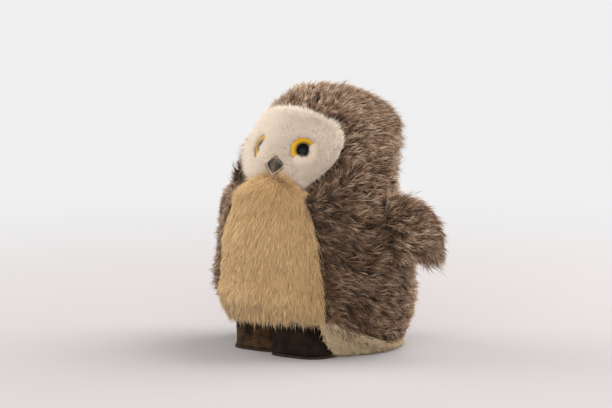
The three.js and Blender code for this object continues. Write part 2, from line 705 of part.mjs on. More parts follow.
// Both wings, trimmed wherever they would touch the body anywhere in their swing.
function addWings(group, keepClear) {
  const half = seamGap / 2;
  const reach = wingLength * 2;
  const slab = (side) => {
    const box = new THREE.BoxGeometry(reach * 2, reach, reach * 2);
    box.translate(0, side * (reach / 2 + half), 0);
    return solid(box);
  };
  const place = wingMatrix();
  const whole = wingForm(0, wingColumns);
  let shell = whole.subtract(wingForm(wingSkinThickness, wingColumns));
  let filling = wingForm(wingSkinThickness + fillingGap, wingColumns);
  for (let step = 0; step <= wingSwingSteps; step += 1) {
    const swing = THREE.MathUtils.degToRad((-wingSwing * step) / wingSwingSteps);
    const swung = place.clone().multiply(new THREE.Matrix4().makeRotationZ(swing));
    const clear = moved(keepClear, swung.invert());
    shell = shell.subtract(clear);
    filling = filling.subtract(clear);
  }
  const mirrored = new THREE.Matrix4().makeScale(-1, 1, 1);
  for (const [side, word] of [[1, 'left'], [-1, 'right']]) {
    const wing = new THREE.Group();
    const at = side > 0 ? place : mirrored.clone().multiply(place).multiply(mirrored);
    at.decompose(wing.position, wing.quaternion, wing.scale);
    group.add(wing);
    add(wing, `wing_outer_skin_${word}`, onSide(shell.intersect(slab(-1)), side), soft(colours.brownFur));
    add(wing, `wing_inner_skin_${word}`, onSide(shell.intersect(slab(1)), side), soft(colours.brownFur));
    add(wing, `wing_filling_${word}`, onSide(filling, side), soft(colours.filling));
  }
}

// Each foot: a flat sole whose rim stands proud, a card stiffener on it, the suede cover and its filling.
function addFeet(group) {
  const onSole = soleThickness + footGap;
  const onInsert = onSole + insertThickness + footGap;
  const inside = suedeThickness + footGap;
  for (const [side, word] of [[1, 'left'], [-1, 'right']]) {
    const foot = new THREE.Group();
    foot.applyMatrix4(footPlace(side));
    group.add(foot);
    const block = (...sizes) => onSide(footBlock(side, ...sizes), side);
    const cover = block(0, onSole, footHeight, footRounding)
      .subtract(block(suedeThickness, -overrun, footHeight - suedeThickness, footRounding));
    const card = material(colours.card, 0.9);
    add(foot, `foot_sole_${word}`, block(-soleRim, 0, soleThickness, 0), soft(colours.soleEdge));
    add(foot, `foot_insert_${word}`, block(inside, onSole, onSole + insertThickness, 0), card);
    add(foot, `foot_upper_${word}`, cover, soft(colours.suede));
    add(foot, `foot_filling_${word}`, block(inside, onInsert, footHeight - inside, footRounding),
      soft(colours.filling));
  }
}

const bodySpace = buildHeadAndBody();
addEyes(owl);
addWings(owl, bodySpace);
addFeet(owl);

export default owl;
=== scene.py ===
"""A small sitting plush owl: fur, cloth, eyes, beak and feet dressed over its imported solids.

Every piece is worked out from the measures below, in millimetres, and stands in the solids' own frame:
+Z up, the owl faces -Y, and its left is +X.
"""
import math
from dataclasses import dataclass

import bpy
import numpy as np
from bpy.props import FloatProperty, FloatVectorProperty, IntProperty, PointerProperty
from mathutils import Matrix, Vector


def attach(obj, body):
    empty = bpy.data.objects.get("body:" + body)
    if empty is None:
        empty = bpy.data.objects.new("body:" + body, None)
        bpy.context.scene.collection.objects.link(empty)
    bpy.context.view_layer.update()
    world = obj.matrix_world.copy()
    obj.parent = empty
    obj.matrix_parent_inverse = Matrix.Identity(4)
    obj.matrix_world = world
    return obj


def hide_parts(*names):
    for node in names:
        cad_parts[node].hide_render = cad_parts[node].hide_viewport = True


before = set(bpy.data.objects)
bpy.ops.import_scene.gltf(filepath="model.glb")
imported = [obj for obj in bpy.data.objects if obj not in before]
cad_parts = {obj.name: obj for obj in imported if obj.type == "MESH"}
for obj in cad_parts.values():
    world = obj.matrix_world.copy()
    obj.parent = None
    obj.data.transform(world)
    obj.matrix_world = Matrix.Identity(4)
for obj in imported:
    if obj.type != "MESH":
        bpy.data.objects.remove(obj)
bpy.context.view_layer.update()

bl_info = {
    "name": "Plush owl",
    "version": (1, 0, 0),
    "blender": (4, 5, 0),
    "location": "View3D > Sidebar > Plush owl",
    "description": "Builds a sitting plush owl with combed fur, a pile face, safety eyes and suede feet",
    "category": "Add Mesh",
}

MM = 0.001
MAP = "OFBake"

# The forms, as the solids have them
OWL_HEIGHT = 158.0
BODY_HALF = 60.25
HEAD_HALF = 46.5
# Height by the owl's height, then radius and shift backwards by the body's half width.
BODY_ROWS = (
    (-0.01, 0.75, 0.05), (0.0, 0.78, 0.05), (0.016, 0.84, 0.07), (0.038, 0.87, 0.085), (0.07, 0.895, 0.085),
    (0.1, 0.92, 0.07), (0.13, 0.953, 0.045), (0.18, 0.985, 0.01), (0.24, 1.0, -0.03), (0.3, 0.99, -0.03),
    (0.36, 0.98, -0.04), (0.44, 0.95, -0.07), (0.52, 0.895, -0.09), (0.6, 0.85, -0.09), (0.66, 0.825, -0.06),
    (0.72, 0.805, -0.02), (0.8, 0.79, 0.0),
)
# Height, then half width, shift backwards and depth ahead and behind, by the head's half width.
HEAD_ROWS = (
    (0.58, 0.8, -0.06, 0.82, 0.82), (0.637, 0.91, -0.05, 0.9, 0.88), (0.675, 0.97, -0.04, 0.92, 0.9),
    (0.72, 1.0, -0.02, 0.9, 0.91), (0.765, 0.98, 0.02, 0.88, 0.9), (0.81, 0.885, 0.09, 0.9, 0.89),
    (0.857, 0.78, 0.19, 0.93, 0.91), (0.904, 0.68, 0.19, 0.84, 0.8), (0.934, 0.58, 0.18, 0.71, 0.7),
    (0.965, 0.47, 0.15, 0.5, 0.49), (0.988, 0.31, 0.13, 0.32, 0.31), (1.0, 0.002, 0.13, 0.002, 0.002),
)
HEAD_POWERS = (1.8, 3.0)
# Degrees from the front, and the seam's height.
NECK_SEAM = (
    (0, 0.688), (13, 0.676), (26, 0.642), (37, 0.637), (48, 0.656), (58, 0.688), (68, 0.73), (80, 0.76),
    (105, 0.77), (180, 0.77),
)
NECK_PINCH = 2.0
NECK_ROUNDING = 7.0
HEAD_MIDDLE = (0.0, 4.0, 125.0)
# Height, and the seam's degrees from the front.
BIB_SEAM = ((0.1, 37), (0.22, 39.3), (0.37, 38.3), (0.52, 36.5), (0.64, 30.5), (0.8, 28))
# Degrees from the front, and the seam's height.
BASE_SEAM = (
    (0, 0.145), (34, 0.145), (46, 0.128), (55, 0.1), (65, 0.076), (78, 0.048), (90, 0.03), (120, 0.018),
    (180, 0.016),
)
FACE_CENTRE_HEIGHT = 121.98
# Across and up from the face's centre, by the head's half width.
FACE_OUTLINE = (
    (0, 0.52), (0.22, 0.495), (0.46, 0.4), (0.6, 0.285), (0.71, 0.12), (0.73, -0.03), (0.68, -0.18),
    (0.57, -0.31), (0.42, -0.43), (0.28, -0.53), (0, -0.62),
)
GUSSET_HALF = 12.0
SEAM_GAP = 0.3
# Depth under the pile's surface and thickness of the brown panels' cloth
BACKING = (2.8, 1.6)
BASE = {"under": 0.3, "floor": 1.8, "inside": 3.6, "straight": 10}
BASE_ANGLES = np.linspace(-np.pi, np.pi, 120, endpoint=False)
DOWN = np.array((0, 0, -1.0))
SIDES = (("left", 1), ("right", -1))

# How finely surfaces are worked out: small steps along them, rounds of halving and settling, and rings
STEP = 1e-3
HEAD_STEP = 2e-3
HALVINGS = 26
SETTLING = 12
PATCH_RINGS = 22
# Areas from which a point drawn on the body or the head is always kept, and smaller ones less often
BODY_AREA_MOST = 75
HEAD_AREA_MOST = 4500

# The pile's own unevenness, in degrees, millimetres and shares. A wave is its degrees, length and seed.
TURN_WAVES = ((16, 34, 5), (12, 15, 6))
LEAN_WAVE = (8, 20, 7)
TUFT_LEAN = 9
ROOT_LEAN = 6
TIP_LEAN = 8
LEAN_LIMITS = (5, 115)
TUFT_SPLAY = 50
STRAND_UNEVEN = 0.1
THICKNESS_RANGE = (0.75, 1.2)
TAPER = ((0, 0.5, 1), (1.0, 0.85, 0.1))
OVER_FLOOR = 0.25
MAP_MARGIN = 0.01
MAP_SPREAD = 0.004

# Colours of the pile, as (tone, colour) stops from its darkest hair to its lightest
BROWN_ROOTS = [(0, (0.012, 0.0055, 0.0025)), (1, (0.032, 0.0155, 0.0075))]
BROWN_MIDDLES = [(0, (0.027, 0.0125, 0.006)), (0.5, (0.145, 0.072, 0.034)), (1, (0.39, 0.235, 0.13))]
BROWN_TIPS = [(0, (0.054, 0.025, 0.012)), (0.25, (0.28, 0.126, 0.055)), (0.5, (0.44, 0.27, 0.155)),
              (0.75, (0.78, 0.56, 0.37)), (1, (1.0, 0.88, 0.71))]
TAN_ROOTS = [(0, (0.26, 0.145, 0.056)), (1, (0.46, 0.275, 0.12))]
TAN_MIDDLES = [(0, (0.55, 0.335, 0.142)), (1, (0.83, 0.56, 0.265))]
TAN_TIPS = [(0, (0.72, 0.475, 0.22)), (0.5, (0.88, 0.635, 0.335)), (1, (0.98, 0.82, 0.54))]
FADES_UP_STRAND = ((0.12, 0.5), (0.5, 0.92))
# How bright each foot's suede is: the left foot's is much darker, painted shade under the bib
SUEDE_PAINTED_SHADES = (("left", 0.24), ("right", 0.95))
LID_NAPS = {1: (0.65, 0.0, 0.76), -1: (0.97, 0.0, 0.24)}

# The view: the photograph's size and scale, and where the owl's middle and the floor are in it, in pixels
PHOTO_SIZE = (612, 408)
PIXEL = 0.605
OWL_ASIDE = -11
FLOOR_ROW = 344.3
FLOOR_REACH = 4.0
BACKDROP_COLOUR = (0.87, 0.87, 0.875, 1)
# Name, turn from the camera and rise in degrees, distance and width in metres, share of the power, colour
LAMPS = (
    ("key", 116, 50, 1.2, 1.1, 1.6, (1.0, 0.98, 0.95)),
    ("back", -112, 28, 1.2, 0.9, 0.78, (1.0, 0.98, 0.96)),
    ("front", -8, 15, 1.3, 1.1, 0.95, (1.0, 0.99, 0.98)),
)
LAMPS_LOOK_AT = 0.08


def hermite(t, start, leaving, end, arriving):
    """The cubic from start to end, with its slopes there, at a share of the way."""
    return ((2 * t**3 - 3 * t**2 + 1) * start + (t**3 - 2 * t**2 + t) * leaving
            + (3 * t**2 - 2 * t**3) * end + (t**3 - t**2) * arriving)


def smooth_row(table, at):
    """Values between a table's rows by its first column: a cubic through them with Catmull-Rom slopes."""
    rows = np.asarray(table, dtype=float)
    keys = rows[:, 0]
    at = np.clip(np.asarray(at, dtype=float), keys[0], keys[-1])
    low = np.clip(np.searchsorted(keys, at, side="left") - 1, 0, len(keys) - 2)
    before, high, after = np.maximum(low - 1, 0), low + 1, np.minimum(low + 2, len(keys) - 1)
    span = keys[high] - keys[low]
    t = ((at - keys[low]) / span)[..., None]
    slope_low = (rows[high] - rows[before]) * (span / (keys[high] - keys[before]))[..., None]
    slope_high = (rows[after] - rows[low]) * (span / (keys[after] - keys[low]))[..., None]
    return hermite(t, rows[low], slope_low, rows[high], slope_high)


def unit(vectors):
    """Each vector at length one."""
    return vectors / np.maximum(np.linalg.norm(vectors, axis=-1, keepdims=True), 1e-9)


def neck_height(angle):
    """Height of the neck seam at an angle from the front."""
    return OWL_HEIGHT * smooth_row(NECK_SEAM, np.degrees(np.abs(angle)))[..., 1]


def base_height(angle):
    """Height of the base panel's top seam at an angle from the front."""
    return OWL_HEIGHT * smooth_row(BASE_SEAM, np.degrees(np.abs(angle)))[..., 1]


def bib_angle(height):
    """Angle of the bib's side seam at a height."""
    return np.radians(smooth_row(BIB_SEAM, height / OWL_HEIGHT)[..., 1])


def body_outline(angle, height):
    """The body's round section at a height: its middle moves back and forth, its radius follows the rows."""
    rows = smooth_row(BODY_ROWS, height / OWL_HEIGHT) * BODY_HALF
    radius, shift = rows[..., 1], rows[..., 2]
    return np.stack([radius * np.sin(angle), shift - radius * np.cos(angle), height], axis=-1)


def head_outline(angle, height):
    """The head's section at a height: a superellipse, softer in front and squarer behind."""
    rows = smooth_row(HEAD_ROWS, height / OWL_HEIGHT) * HEAD_HALF
    ahead = np.cos(angle) > 0
    power = np.where(ahead, *HEAD_POWERS)
    across = np.abs(np.sin(angle)) / rows[..., 1]
    along = np.abs(np.cos(angle)) / np.where(ahead, rows[..., 3], rows[..., 4])
    radius = (across**power + along**power) ** (-1 / power)
    return np.stack([radius * np.sin(angle), rows[..., 2] - radius * np.cos(angle), height], axis=-1)


def towards_neck(outline, angle, away):
    """Draws an outline point in towards the neck seam, like the rounded end of a filled bag."""
    seam = neck_height(angle)
    body, head = body_outline(angle, seam), head_outline(angle, seam)
    reach_body, reach_head = np.hypot(body[..., 0], body[..., 1]), np.hypot(head[..., 0], head[..., 1])
    slimmer = np.where((reach_body < reach_head)[..., None], body, head)
    reach = np.minimum(reach_body, reach_head)[..., None]
    neck = slimmer * (1 - NECK_PINCH / reach)
    neck[..., 2] = outline[..., 2]
    left = 1 - np.clip(away / NECK_ROUNDING, 0, 1)
    share = np.sqrt(1 - left**2)[..., None]
    return neck + (outline - neck) * share


def body_point(angle, height):
    """The body's outer surface at an angle from the front and a height."""
    angle, height = np.broadcast_arrays(np.asarray(angle, float), np.asarray(height, float))
    return towards_neck(body_outline(angle, height), angle, neck_height(angle) - height)


def head_point(angle, height):
    """The head's outer surface at an angle from the front and a height."""
    angle, height = np.broadcast_arrays(np.asarray(angle, float), np.asarray(height, float))
    return towards_neck(head_outline(angle, height), angle, height - neck_height(angle))


def head_angle(points):
    """Angle from the front, about the head's own middle line, of each point."""
    shift = smooth_row(HEAD_ROWS, points[..., 2] / OWL_HEIGHT)[..., 2] * HEAD_HALF
    return np.arctan2(points[..., 0], shift - points[..., 1])


def body_angle(points):
    """Angle from the front, about the body's own middle line, of each point."""
    shift = smooth_row(BODY_ROWS, points[..., 2] / OWL_HEIGHT)[..., 2] * BODY_HALF
    return np.arctan2(points[..., 0], shift - points[..., 1])


def head_along(start, direction):
    """Where rays from inside the head leave its surface, found by halving, then drawn in near the neck."""
    low, high = np.zeros(len(direction)), np.full(len(direction), 2.5 * HEAD_HALF)
    for _ in range(HALVINGS):
        middle = (low + high) / 2
        at = start + direction * middle[:, None]
        rows = smooth_row(HEAD_ROWS, at[:, 2] / OWL_HEIGHT) * HEAD_HALF
        back = at[:, 1] > rows[:, 2]
        power = np.where(back, HEAD_POWERS[1], HEAD_POWERS[0])
        depth = np.where(back, rows[:, 4], rows[:, 3])
        reach = (np.abs(at[:, 0]) / rows[:, 1])**power + (np.abs(at[:, 1] - rows[:, 2]) / depth)**power
        inside = (reach < 1) & (at[:, 2] < OWL_HEIGHT)
        low, high = np.where(inside, middle, low), np.where(inside, high, middle)
    at = start + direction * low[:, None]
    angle = head_angle(at)
    return towards_neck(at, angle, at[:, 2] - neck_height(angle))


def face_half_width(height):
    """Half the face panel's width at a height, by its outline seen from the front."""
    turned = sorted((z, x) for x, z in FACE_OUTLINE)
    fine = np.linspace(turned[0][0], turned[-1][0], 200)
    widths = np.maximum(smooth_row(turned, fine)[:, 1], 0)
    share = (np.asarray(height, float) - FACE_CENTRE_HEIGHT) / HEAD_HALF
    return np.interp(share, fine, widths, left=0, right=0) * HEAD_HALF


def face_distance(at):
    """How far outside the face panel's outline points lie, seen from the front; negative inside it."""
    upper = [(x, z) for x, z in FACE_OUTLINE[:-1]]
    timed = [(i, x, z) for i, (x, z) in enumerate(upper)]
    loop = smooth_row(timed, np.linspace(0, len(upper) - 1, 90))[:, 1:]
    loop = loop * HEAD_HALF + (0, FACE_CENTRE_HEIGHT)
    seen = np.stack([np.abs(at[:, 0]), at[:, 2]], axis=1)
    away = np.sqrt(((seen[:, None] - loop[None]) ** 2).sum(axis=2)).min(axis=1)
    return np.where(seen[:, 0] > face_half_width(at[:, 2]), away, -away)


def near(distance, reach):
    """One at a distance of nothing, fading to nothing at the reach."""
    return np.clip(1 - distance / reach, 0, 1)


def band(values, middle, reach):
    """One at the middle value, fading to nothing at the reach on both sides."""
    return near(np.abs(values - middle), reach)


def drift(points, scale, seed, waves=7):
    """A smooth random value from about -1 to 1 at each point: waves of one length in random directions."""
    rng = np.random.default_rng(seed)
    directions = unit(rng.normal(size=(waves, 3))) * (2 * np.pi / scale)
    directions *= rng.uniform(0.7, 1.4, (waves, 1))
    phases = rng.uniform(0, 2 * np.pi, waves)
    return np.sin(points @ directions.T + phases).sum(axis=1) / math.sqrt(waves)


def new_piece(name, vertices, faces, slot, material, body="owl", maps=None):
    """An object from arrays: vertices in millimetres, and faces as one array for each number of corners."""
    mesh = bpy.data.meshes.new(name)
    corners = np.concatenate([np.asarray(f).ravel() for f in faces]).astype(np.int32)
    totals = np.concatenate([np.full(len(f), np.asarray(f).shape[1]) for f in faces]).astype(np.int32)
    starts = np.concatenate([[0], np.cumsum(totals)[:-1]]).astype(np.int32)
    mesh.vertices.add(len(vertices))
    mesh.vertices.foreach_set("co", (np.asarray(vertices) * MM).astype(np.float32).ravel())
    mesh.loops.add(len(corners))
    mesh.loops.foreach_set("vertex_index", corners)
    mesh.polygons.add(len(totals))
    mesh.polygons.foreach_set("loop_start", starts)
    mesh.update(calc_edges=True)
    mesh.polygons.foreach_set("use_smooth", np.full(len(totals), True))
    if maps is not None:
        layer = mesh.uv_layers.new(name=MAP)
        layer.data.foreach_set("uv", maps[corners].astype(np.float32).ravel())
    mesh.validate()
    piece = bpy.data.objects.new(name, mesh)
    bpy.context.scene.collection.objects.link(piece)
    piece.data.materials.append(material)
    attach(piece, body)
    return piece


def dress(node_name, material):
    """Gives a solid that is shown as it is a material."""
    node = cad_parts[node_name]
    node.data.materials.clear()
    node.data.materials.append(material)


def grid_faces(rows, columns, first=0, wrap=False, flip=False):
    """Quads between neighbouring points of a grid stored row by row."""
    row, column = np.meshgrid(np.arange(rows - 1), np.arange(columns if wrap else columns - 1), indexing="ij")
    a = first + row * columns + column
    b = first + row * columns + (column + 1) % columns
    quads = np.stack([a, b, b + columns, a + columns], axis=-1).reshape(-1, 4)
    return quads[:, ::-1] if flip else quads


def shell(name, outer, thickness, slot, material, body="owl"):
    """A closed panel from a grid of outer points, the same grid moved inwards, and walls round the rim."""
    rows, columns = outer.shape[:2]
    across = np.gradient(outer, axis=1)
    along = np.gradient(outer, axis=0)
    inner = outer - unit(np.cross(across, along)) * thickness
    count = rows * columns
    index = np.arange(count).reshape(rows, columns)
    rim = np.concatenate([index[0, :-1], index[:-1, -1], index[-1, :0:-1], index[:0:-1, 0]])
    following = np.roll(rim, -1)
    walls = np.stack([rim, rim + count, following + count, following], axis=-1)
    faces = np.concatenate([grid_faces(rows, columns), grid_faces(rows, columns, count, flip=True), walls])
    vertices = np.concatenate([outer.reshape(-1, 3), inner.reshape(-1, 3)])
    return new_piece(name, vertices, [faces], slot, material, body)


def ring_body(name, rings, slot, material, body="owl"):
    """A closed body from rings lowest first and anticlockwise from above, and a fan at each end."""
    rows, columns = rings.shape[:2]
    vertices = np.concatenate([rings.reshape(-1, 3), rings[:1].mean(axis=1), rings[-1:].mean(axis=1)])
    low, high = rows * columns, rows * columns + 1
    start, end = np.arange(columns), (rows - 1) * columns + np.arange(columns)
    fans = np.concatenate([
        np.stack([np.full(columns, low), np.roll(start, -1), start], axis=-1),
        np.stack([np.full(columns, high), end, np.roll(end, -1)], axis=-1),
    ])
    return new_piece(name, vertices, [grid_faces(rows, columns, wrap=True), fans], slot, material, body)


def strand_mesh(name, points, radii, binormals, tones, slot, material, body="owl"):
    """Three-sided tapering strands along rows of points, closed by a triangle below and by the tip above.

    The map holds each strand's tone across and its length up.
    """
    count, steps = points.shape[:2]
    along = unit(np.gradient(points, axis=1))
    beside = np.broadcast_to(binormals[:, None], along.shape)
    over = unit(np.cross(beside, along))
    rings = [points + radii[..., None] * (math.cos(angle) * beside + math.sin(angle) * over)
             for angle in (turn * 2 * math.pi / 3 for turn in range(3))]
    ring_points = np.stack(rings, axis=2)[:, :-1]
    per = 3 * (steps - 1) + 1
    vertices = np.concatenate([ring_points.reshape(count, -1, 3), points[:, -1:]], axis=1).reshape(-1, 3)
    quads = []
    for step in range(steps - 2):
        for turn in range(3):
            a, b = 3 * step + turn, 3 * step + (turn + 1) % 3
            quads.append((a, b, b + 3, a + 3))
    last = 3 * (steps - 2)
    triangles = [(2, 1, 0)] + [(last + turn, last + (turn + 1) % 3, per - 1) for turn in range(3)]
    offsets = (np.arange(count) * per)[:, None, None]
    faces = [(np.reshape(corners, (1, -1, sides)) + offsets).reshape(-1, sides)
             for corners, sides in ((quads, 4), (triangles, 3))]
    heights = np.linspace(MAP_MARGIN, 1 - MAP_MARGIN, steps)
    up = np.concatenate([np.repeat(heights[:-1], 3), heights[-1:]])
    across = np.concatenate([np.tile((-1.0, 0.0, 1.0), steps - 1), [0.0]])
    u = np.clip(tones, MAP_SPREAD, 1 - MAP_SPREAD)[:, None] + across * MAP_SPREAD
    maps = np.stack([u, np.broadcast_to(up, u.shape)], axis=-1).reshape(-1, 2)
    return new_piece(name, vertices, faces, slot, material, body, maps)


@dataclass
class Pile:
    """How one kind of pile grows. Lengths are in millimetres, angles in degrees and the density in hairs on
    each square millimetre. It leans from the surface's normal, by rise at the root and by lie at the tip."""

    length: float
    density: float
    tuft: float
    per_tuft: int
    depth: float
    rise: float
    lie: float
    turn: float
    stray: float
    gather: float
    radius: float
    steps: int
    droop: float
    uneven: float = 0.16
    swirl: float = 1.0


def grow(name, centres, normals, flows, pile, seed, keep, tone, slot, material, stand=0, size=1, body="owl"):
    """Strands in tufts round the given surface points, bending from the normal over into the flow.

    Stand takes degrees off each tuft's lean, and size scales its length.
    """
    rng = np.random.default_rng(seed)
    count = len(centres)
    swirl = pile.swirl * sum(degrees * drift(centres, wave, number) for degrees, wave, number in TURN_WAVES)
    turns = np.radians(rng.normal(0, pile.turn, count) + swirl)[:, None]
    across = unit(np.cross(normals, flows))
    flows = flows * np.cos(turns) + across * np.sin(turns)
    across = unit(np.cross(normals, flows))
    degrees, wave, number = LEAN_WAVE
    leaning = rng.normal(0, TUFT_LEAN, count) + degrees * drift(centres, wave, number)
    lies = pile.lie + pile.swirl * leaning - stand
    lengths = pile.length * (1 + rng.normal(0, pile.uneven, count)) * size
    owner = np.repeat(np.arange(count), pile.per_tuft)
    reach = pile.tuft * np.sqrt(rng.random(len(owner)))
    around = rng.uniform(0, 2 * np.pi, len(owner))
    ahead, aside = np.cos(around)[:, None], np.sin(around)[:, None]
    offsets = (flows[owner] * ahead + across[owner] * aside) * reach[:, None]
    surface = centres[owner] + offsets
    kept = keep(surface)
    owner, offsets, surface = owner[kept], offsets[kept], surface[kept]
    total = len(owner)
    normal = unit(normals[owner] + offsets / TUFT_SPLAY)
    strays = np.radians(rng.normal(0, pile.stray, total))[:, None]
    flow = unit(flows[owner] * np.cos(strays) + across[owner] * np.sin(strays))
    flow = flat_on(flow, normal)
    length = lengths[owner] * (1 + rng.normal(0, STRAND_UNEVEN, total))
    first = np.radians(pile.rise + rng.normal(0, ROOT_LEAN, total))
    last = np.radians(np.clip(lies[owner] + rng.normal(0, TIP_LEAN, total), *LEAN_LIMITS))
    shares = np.linspace(0, 1, pile.steps)
    points = [surface - normal * pile.depth]
    for low, high in zip(shares[:-1], shares[1:]):
        middle = (high + low) / 2
        angle = (first + (last - first) * middle)[:, None]
        heading = normal * np.cos(angle) + flow * np.sin(angle)
        heading[:, 2] -= pile.droop * middle
        points.append(points[-1] + unit(heading) * (length * (high - low))[:, None])
    points = np.stack(points, axis=1)
    points -= offsets[:, None] * (pile.gather * shares[None, :, None] ** 1.5)
    points[..., 2] = np.maximum(points[..., 2], OVER_FLOOR)
    radii = pile.radius * rng.uniform(*THICKNESS_RANGE, total)[:, None] * np.interp(shares, *TAPER)
    tones = np.clip(tone(surface, owner, rng), 0, 1)
    return strand_mesh(name, points, radii, np.cross(normal, flow), tones, slot, material, body)


def mottled(middle, tuft, strand, patch=0.12, shade=None):
    """Tone of each strand: its patch of fur, its tuft and the strand itself vary it, and shade, painted light
    and shade by place, adds to it.
    """
    def tone(surface, owner, rng):
        tufts = rng.normal(0, tuft, owner.max() + 1)
        tones = middle + patch * drift(surface, 26, 11) + tufts[owner] + rng.normal(0, strand, len(owner))
        return tones if shade is None else tones + shade(surface)
    return tone


def brown_painted_light(at):
    """The brown pile's painted light and shade: painted shade beside the bib, painted rim light behind and on
    the far side, and painted light on top; it is also lighter at its hem.
    """
    turned = np.degrees(np.abs(body_angle(at)))
    # Painted shade: darker beside the bib
    painted_shade_beside_bib = -0.23 * band(turned, 48, 36)
    # Painted rim light: lighter behind
    behind = 0.24 * np.clip((turned - 88) / 40, 0, 1)
    at_hem = 0.1 * near(at[:, 2] - 14, 26)
    # Painted rim light: lighter on the far side
    far_side = 0.26 * (at[:, 0] < 0) * band(turned, 45, 40)
    # Painted light: lighter on top of the head
    crown = 0.08 * np.clip((at[:, 2] - 128) / 20, 0, 1)
    on_body = at[:, 2] < 100
    return (painted_shade_beside_bib + behind + at_hem) * on_body + crown + far_side * on_body


def flat_on(vectors, normals):
    """The part of each vector that lies in the surface, at length one."""
    return unit(vectors - normals * (vectors * normals).sum(axis=1, keepdims=True))


def spans(surface, u, v):
    """A surface's points, and the normals there, as long as the area that a small step in u and v spans."""
    at = surface(u, v)
    return at, np.cross(surface(u + STEP, v) - at, surface(u, v + STEP) - at)


def head_spans(directions):
    """The head's points along directions of length one from its middle, and normals as spans gives them."""
    start = np.array(HEAD_MIDDLE)
    helper = np.where(np.abs(directions[:, :1]) < 0.8, (1.0, 0, 0), (0, 1.0, 0))
    first = unit(np.cross(directions, helper))
    second = np.cross(directions, first)
    at = head_along(start, directions)
    one = head_along(start, unit(directions + first * HEAD_STEP))
    other = head_along(start, unit(directions + second * HEAD_STEP))
    crossed = np.cross(one - at, other - at)
    return at, crossed * np.sign((crossed * directions).sum(axis=1, keepdims=True))


def body_surface(places):
    """Points and outward normals of the body at rows of (angle, height)."""
    at, crossed = spans(body_point, places[:, 0], places[:, 1])
    return at, unit(crossed)


def head_surface(directions):
    """Points and outward normals of the head along directions from its middle."""
    at, crossed = head_spans(unit(directions))
    return at, unit(crossed)


def gather(count, draw):
    """Points and normals from a random draw, drawn again until there are enough."""
    drawn = [draw()]
    while sum(len(at) for at, _ in drawn) < count:
        drawn.append(draw())
    points, normals = (np.concatenate(arrays)[:count] for arrays in zip(*drawn))
    return points, normals


def sample_body(count, inside, rng):
    """Points spread evenly over the body's surface where inside is true, and their normals.

    A point drawn by angle and height is kept with a chance in proportion to the area that it stands for.
    """
    def draw():
        angle = rng.uniform(-np.pi, np.pi, 4 * count)
        height = rng.uniform(0.3, 0.79 * OWL_HEIGHT, 4 * count)
        at, crossed = spans(body_point, angle, height)
        area = np.linalg.norm(crossed, axis=1) / STEP**2
        chance = rng.random(len(area)) * BODY_AREA_MOST
        taken = (chance < area) & (height < neck_height(angle)) & inside(angle, at)
        return at[taken], unit(crossed[taken])
    return gather(count, draw)


def sample_head(count, inside, rng):
    """Points spread evenly over the head's surface where inside is true, and their normals."""
    def draw():
        direction = unit(rng.normal(size=(2 * count, 3)))
        direction = direction[direction[:, 2] > -0.75]
        at, crossed = head_spans(direction)
        area = np.linalg.norm(crossed, axis=1) / HEAD_STEP**2
        chance = rng.random(len(area)) * HEAD_AREA_MOST
        taken = (chance < area) & (at[:, 2] > neck_height(head_angle(at))) & inside(at)
        return at[taken], unit(crossed[taken])
    return gather(count, draw)


def sown(sample, strips, pile, rng):
    """Tuft places and normals over strips, each an area in square millimetres and a test of its inside."""
    parts = [sample(int(area * pile.density / pile.per_tuft), inside, rng) for area, inside in strips]
    return [np.concatenate(arrays) for arrays in zip(*parts)]


def feed(tree, node, inputs):
    """Sets a node's inputs by label: a socket is linked to it, and anything else is its value."""
    for label, value in inputs.items():
        if isinstance(value, bpy.types.NodeSocket):
            tree.links.new(value, node.inputs[label])
        else:
            node.inputs[label].default_value = value


def add_node(tree, kind, inputs=None, **settings):
    """A new node with its settings and inputs."""
    node = tree.nodes.new("ShaderNode" + kind)
    for key, value in settings.items():
        setattr(node, key, value)
    feed(tree, node, inputs or {})
    return node


def new_material(name):
    """A material with its node tree and its shader."""
    material = bpy.data.materials.new(name)
    material.use_nodes = True
    return material, material.node_tree, material.node_tree.nodes["Principled BSDF"]


def ramp(tree, share, stops):
    """A colour that runs through stops, each a place and a colour, as the share grows."""
    node = add_node(tree, "ValToRGB", {"Fac": share})
    elements = node.color_ramp.elements
    while len(elements) > 1:
        elements.remove(elements[-1])
    elements[0].position, elements[0].color = stops[0][0], (*stops[0][1], 1)
    for place, colour in stops[1:]:
        elements.new(place).color = (*colour, 1)
    return node.outputs["Color"]


def mapped(tree, value, start, end, low=0.0, high=1.0, **settings):
    """A number that runs from low to high as the value runs from start to end."""
    inputs = {"Value": value, "From Min": start, "From Max": end, "To Min": low, "To Max": high}
    return add_node(tree, "MapRange", inputs, **settings).outputs["Result"]


def noise(tree, scale, detail=2.0):
    """Noise on the piece's own coordinates."""
    place = add_node(tree, "TexCoord").outputs["Object"]
    return add_node(tree, "TexNoise", {"Vector": place, "Scale": scale, "Detail": detail}).outputs["Fac"]


def fur_material(name, roots, middles, tips, roughness=0.62, sheen=0.15):
    """Pile whose colour runs from root to tip up the map, each from a ramp of tones across the map."""
    material, tree, shader = new_material(name)
    place = add_node(tree, "UVMap", uv_map=MAP)
    split = add_node(tree, "SeparateXYZ", {0: place.outputs["UV"]})
    colour, *further = [ramp(tree, split.outputs["X"], stops) for stops in (roots, middles, tips)]
    for tint, (start, end) in zip(further, FADES_UP_STRAND):
        share = mapped(tree, split.outputs["Y"], start, end)
        mix = add_node(tree, "Mix", {"Factor": share, "A": colour, "B": tint}, data_type="RGBA")
        colour = mix.outputs["Result"]
    feed(tree, shader, {
        "Base Color": colour, "Roughness": roughness, "Specular IOR Level": 0.25, "Sheen Weight": sheen,
        "Sheen Roughness": 0.5, "Sheen Tint": (1.0, 0.8, 0.62, 1),
    })
    return material


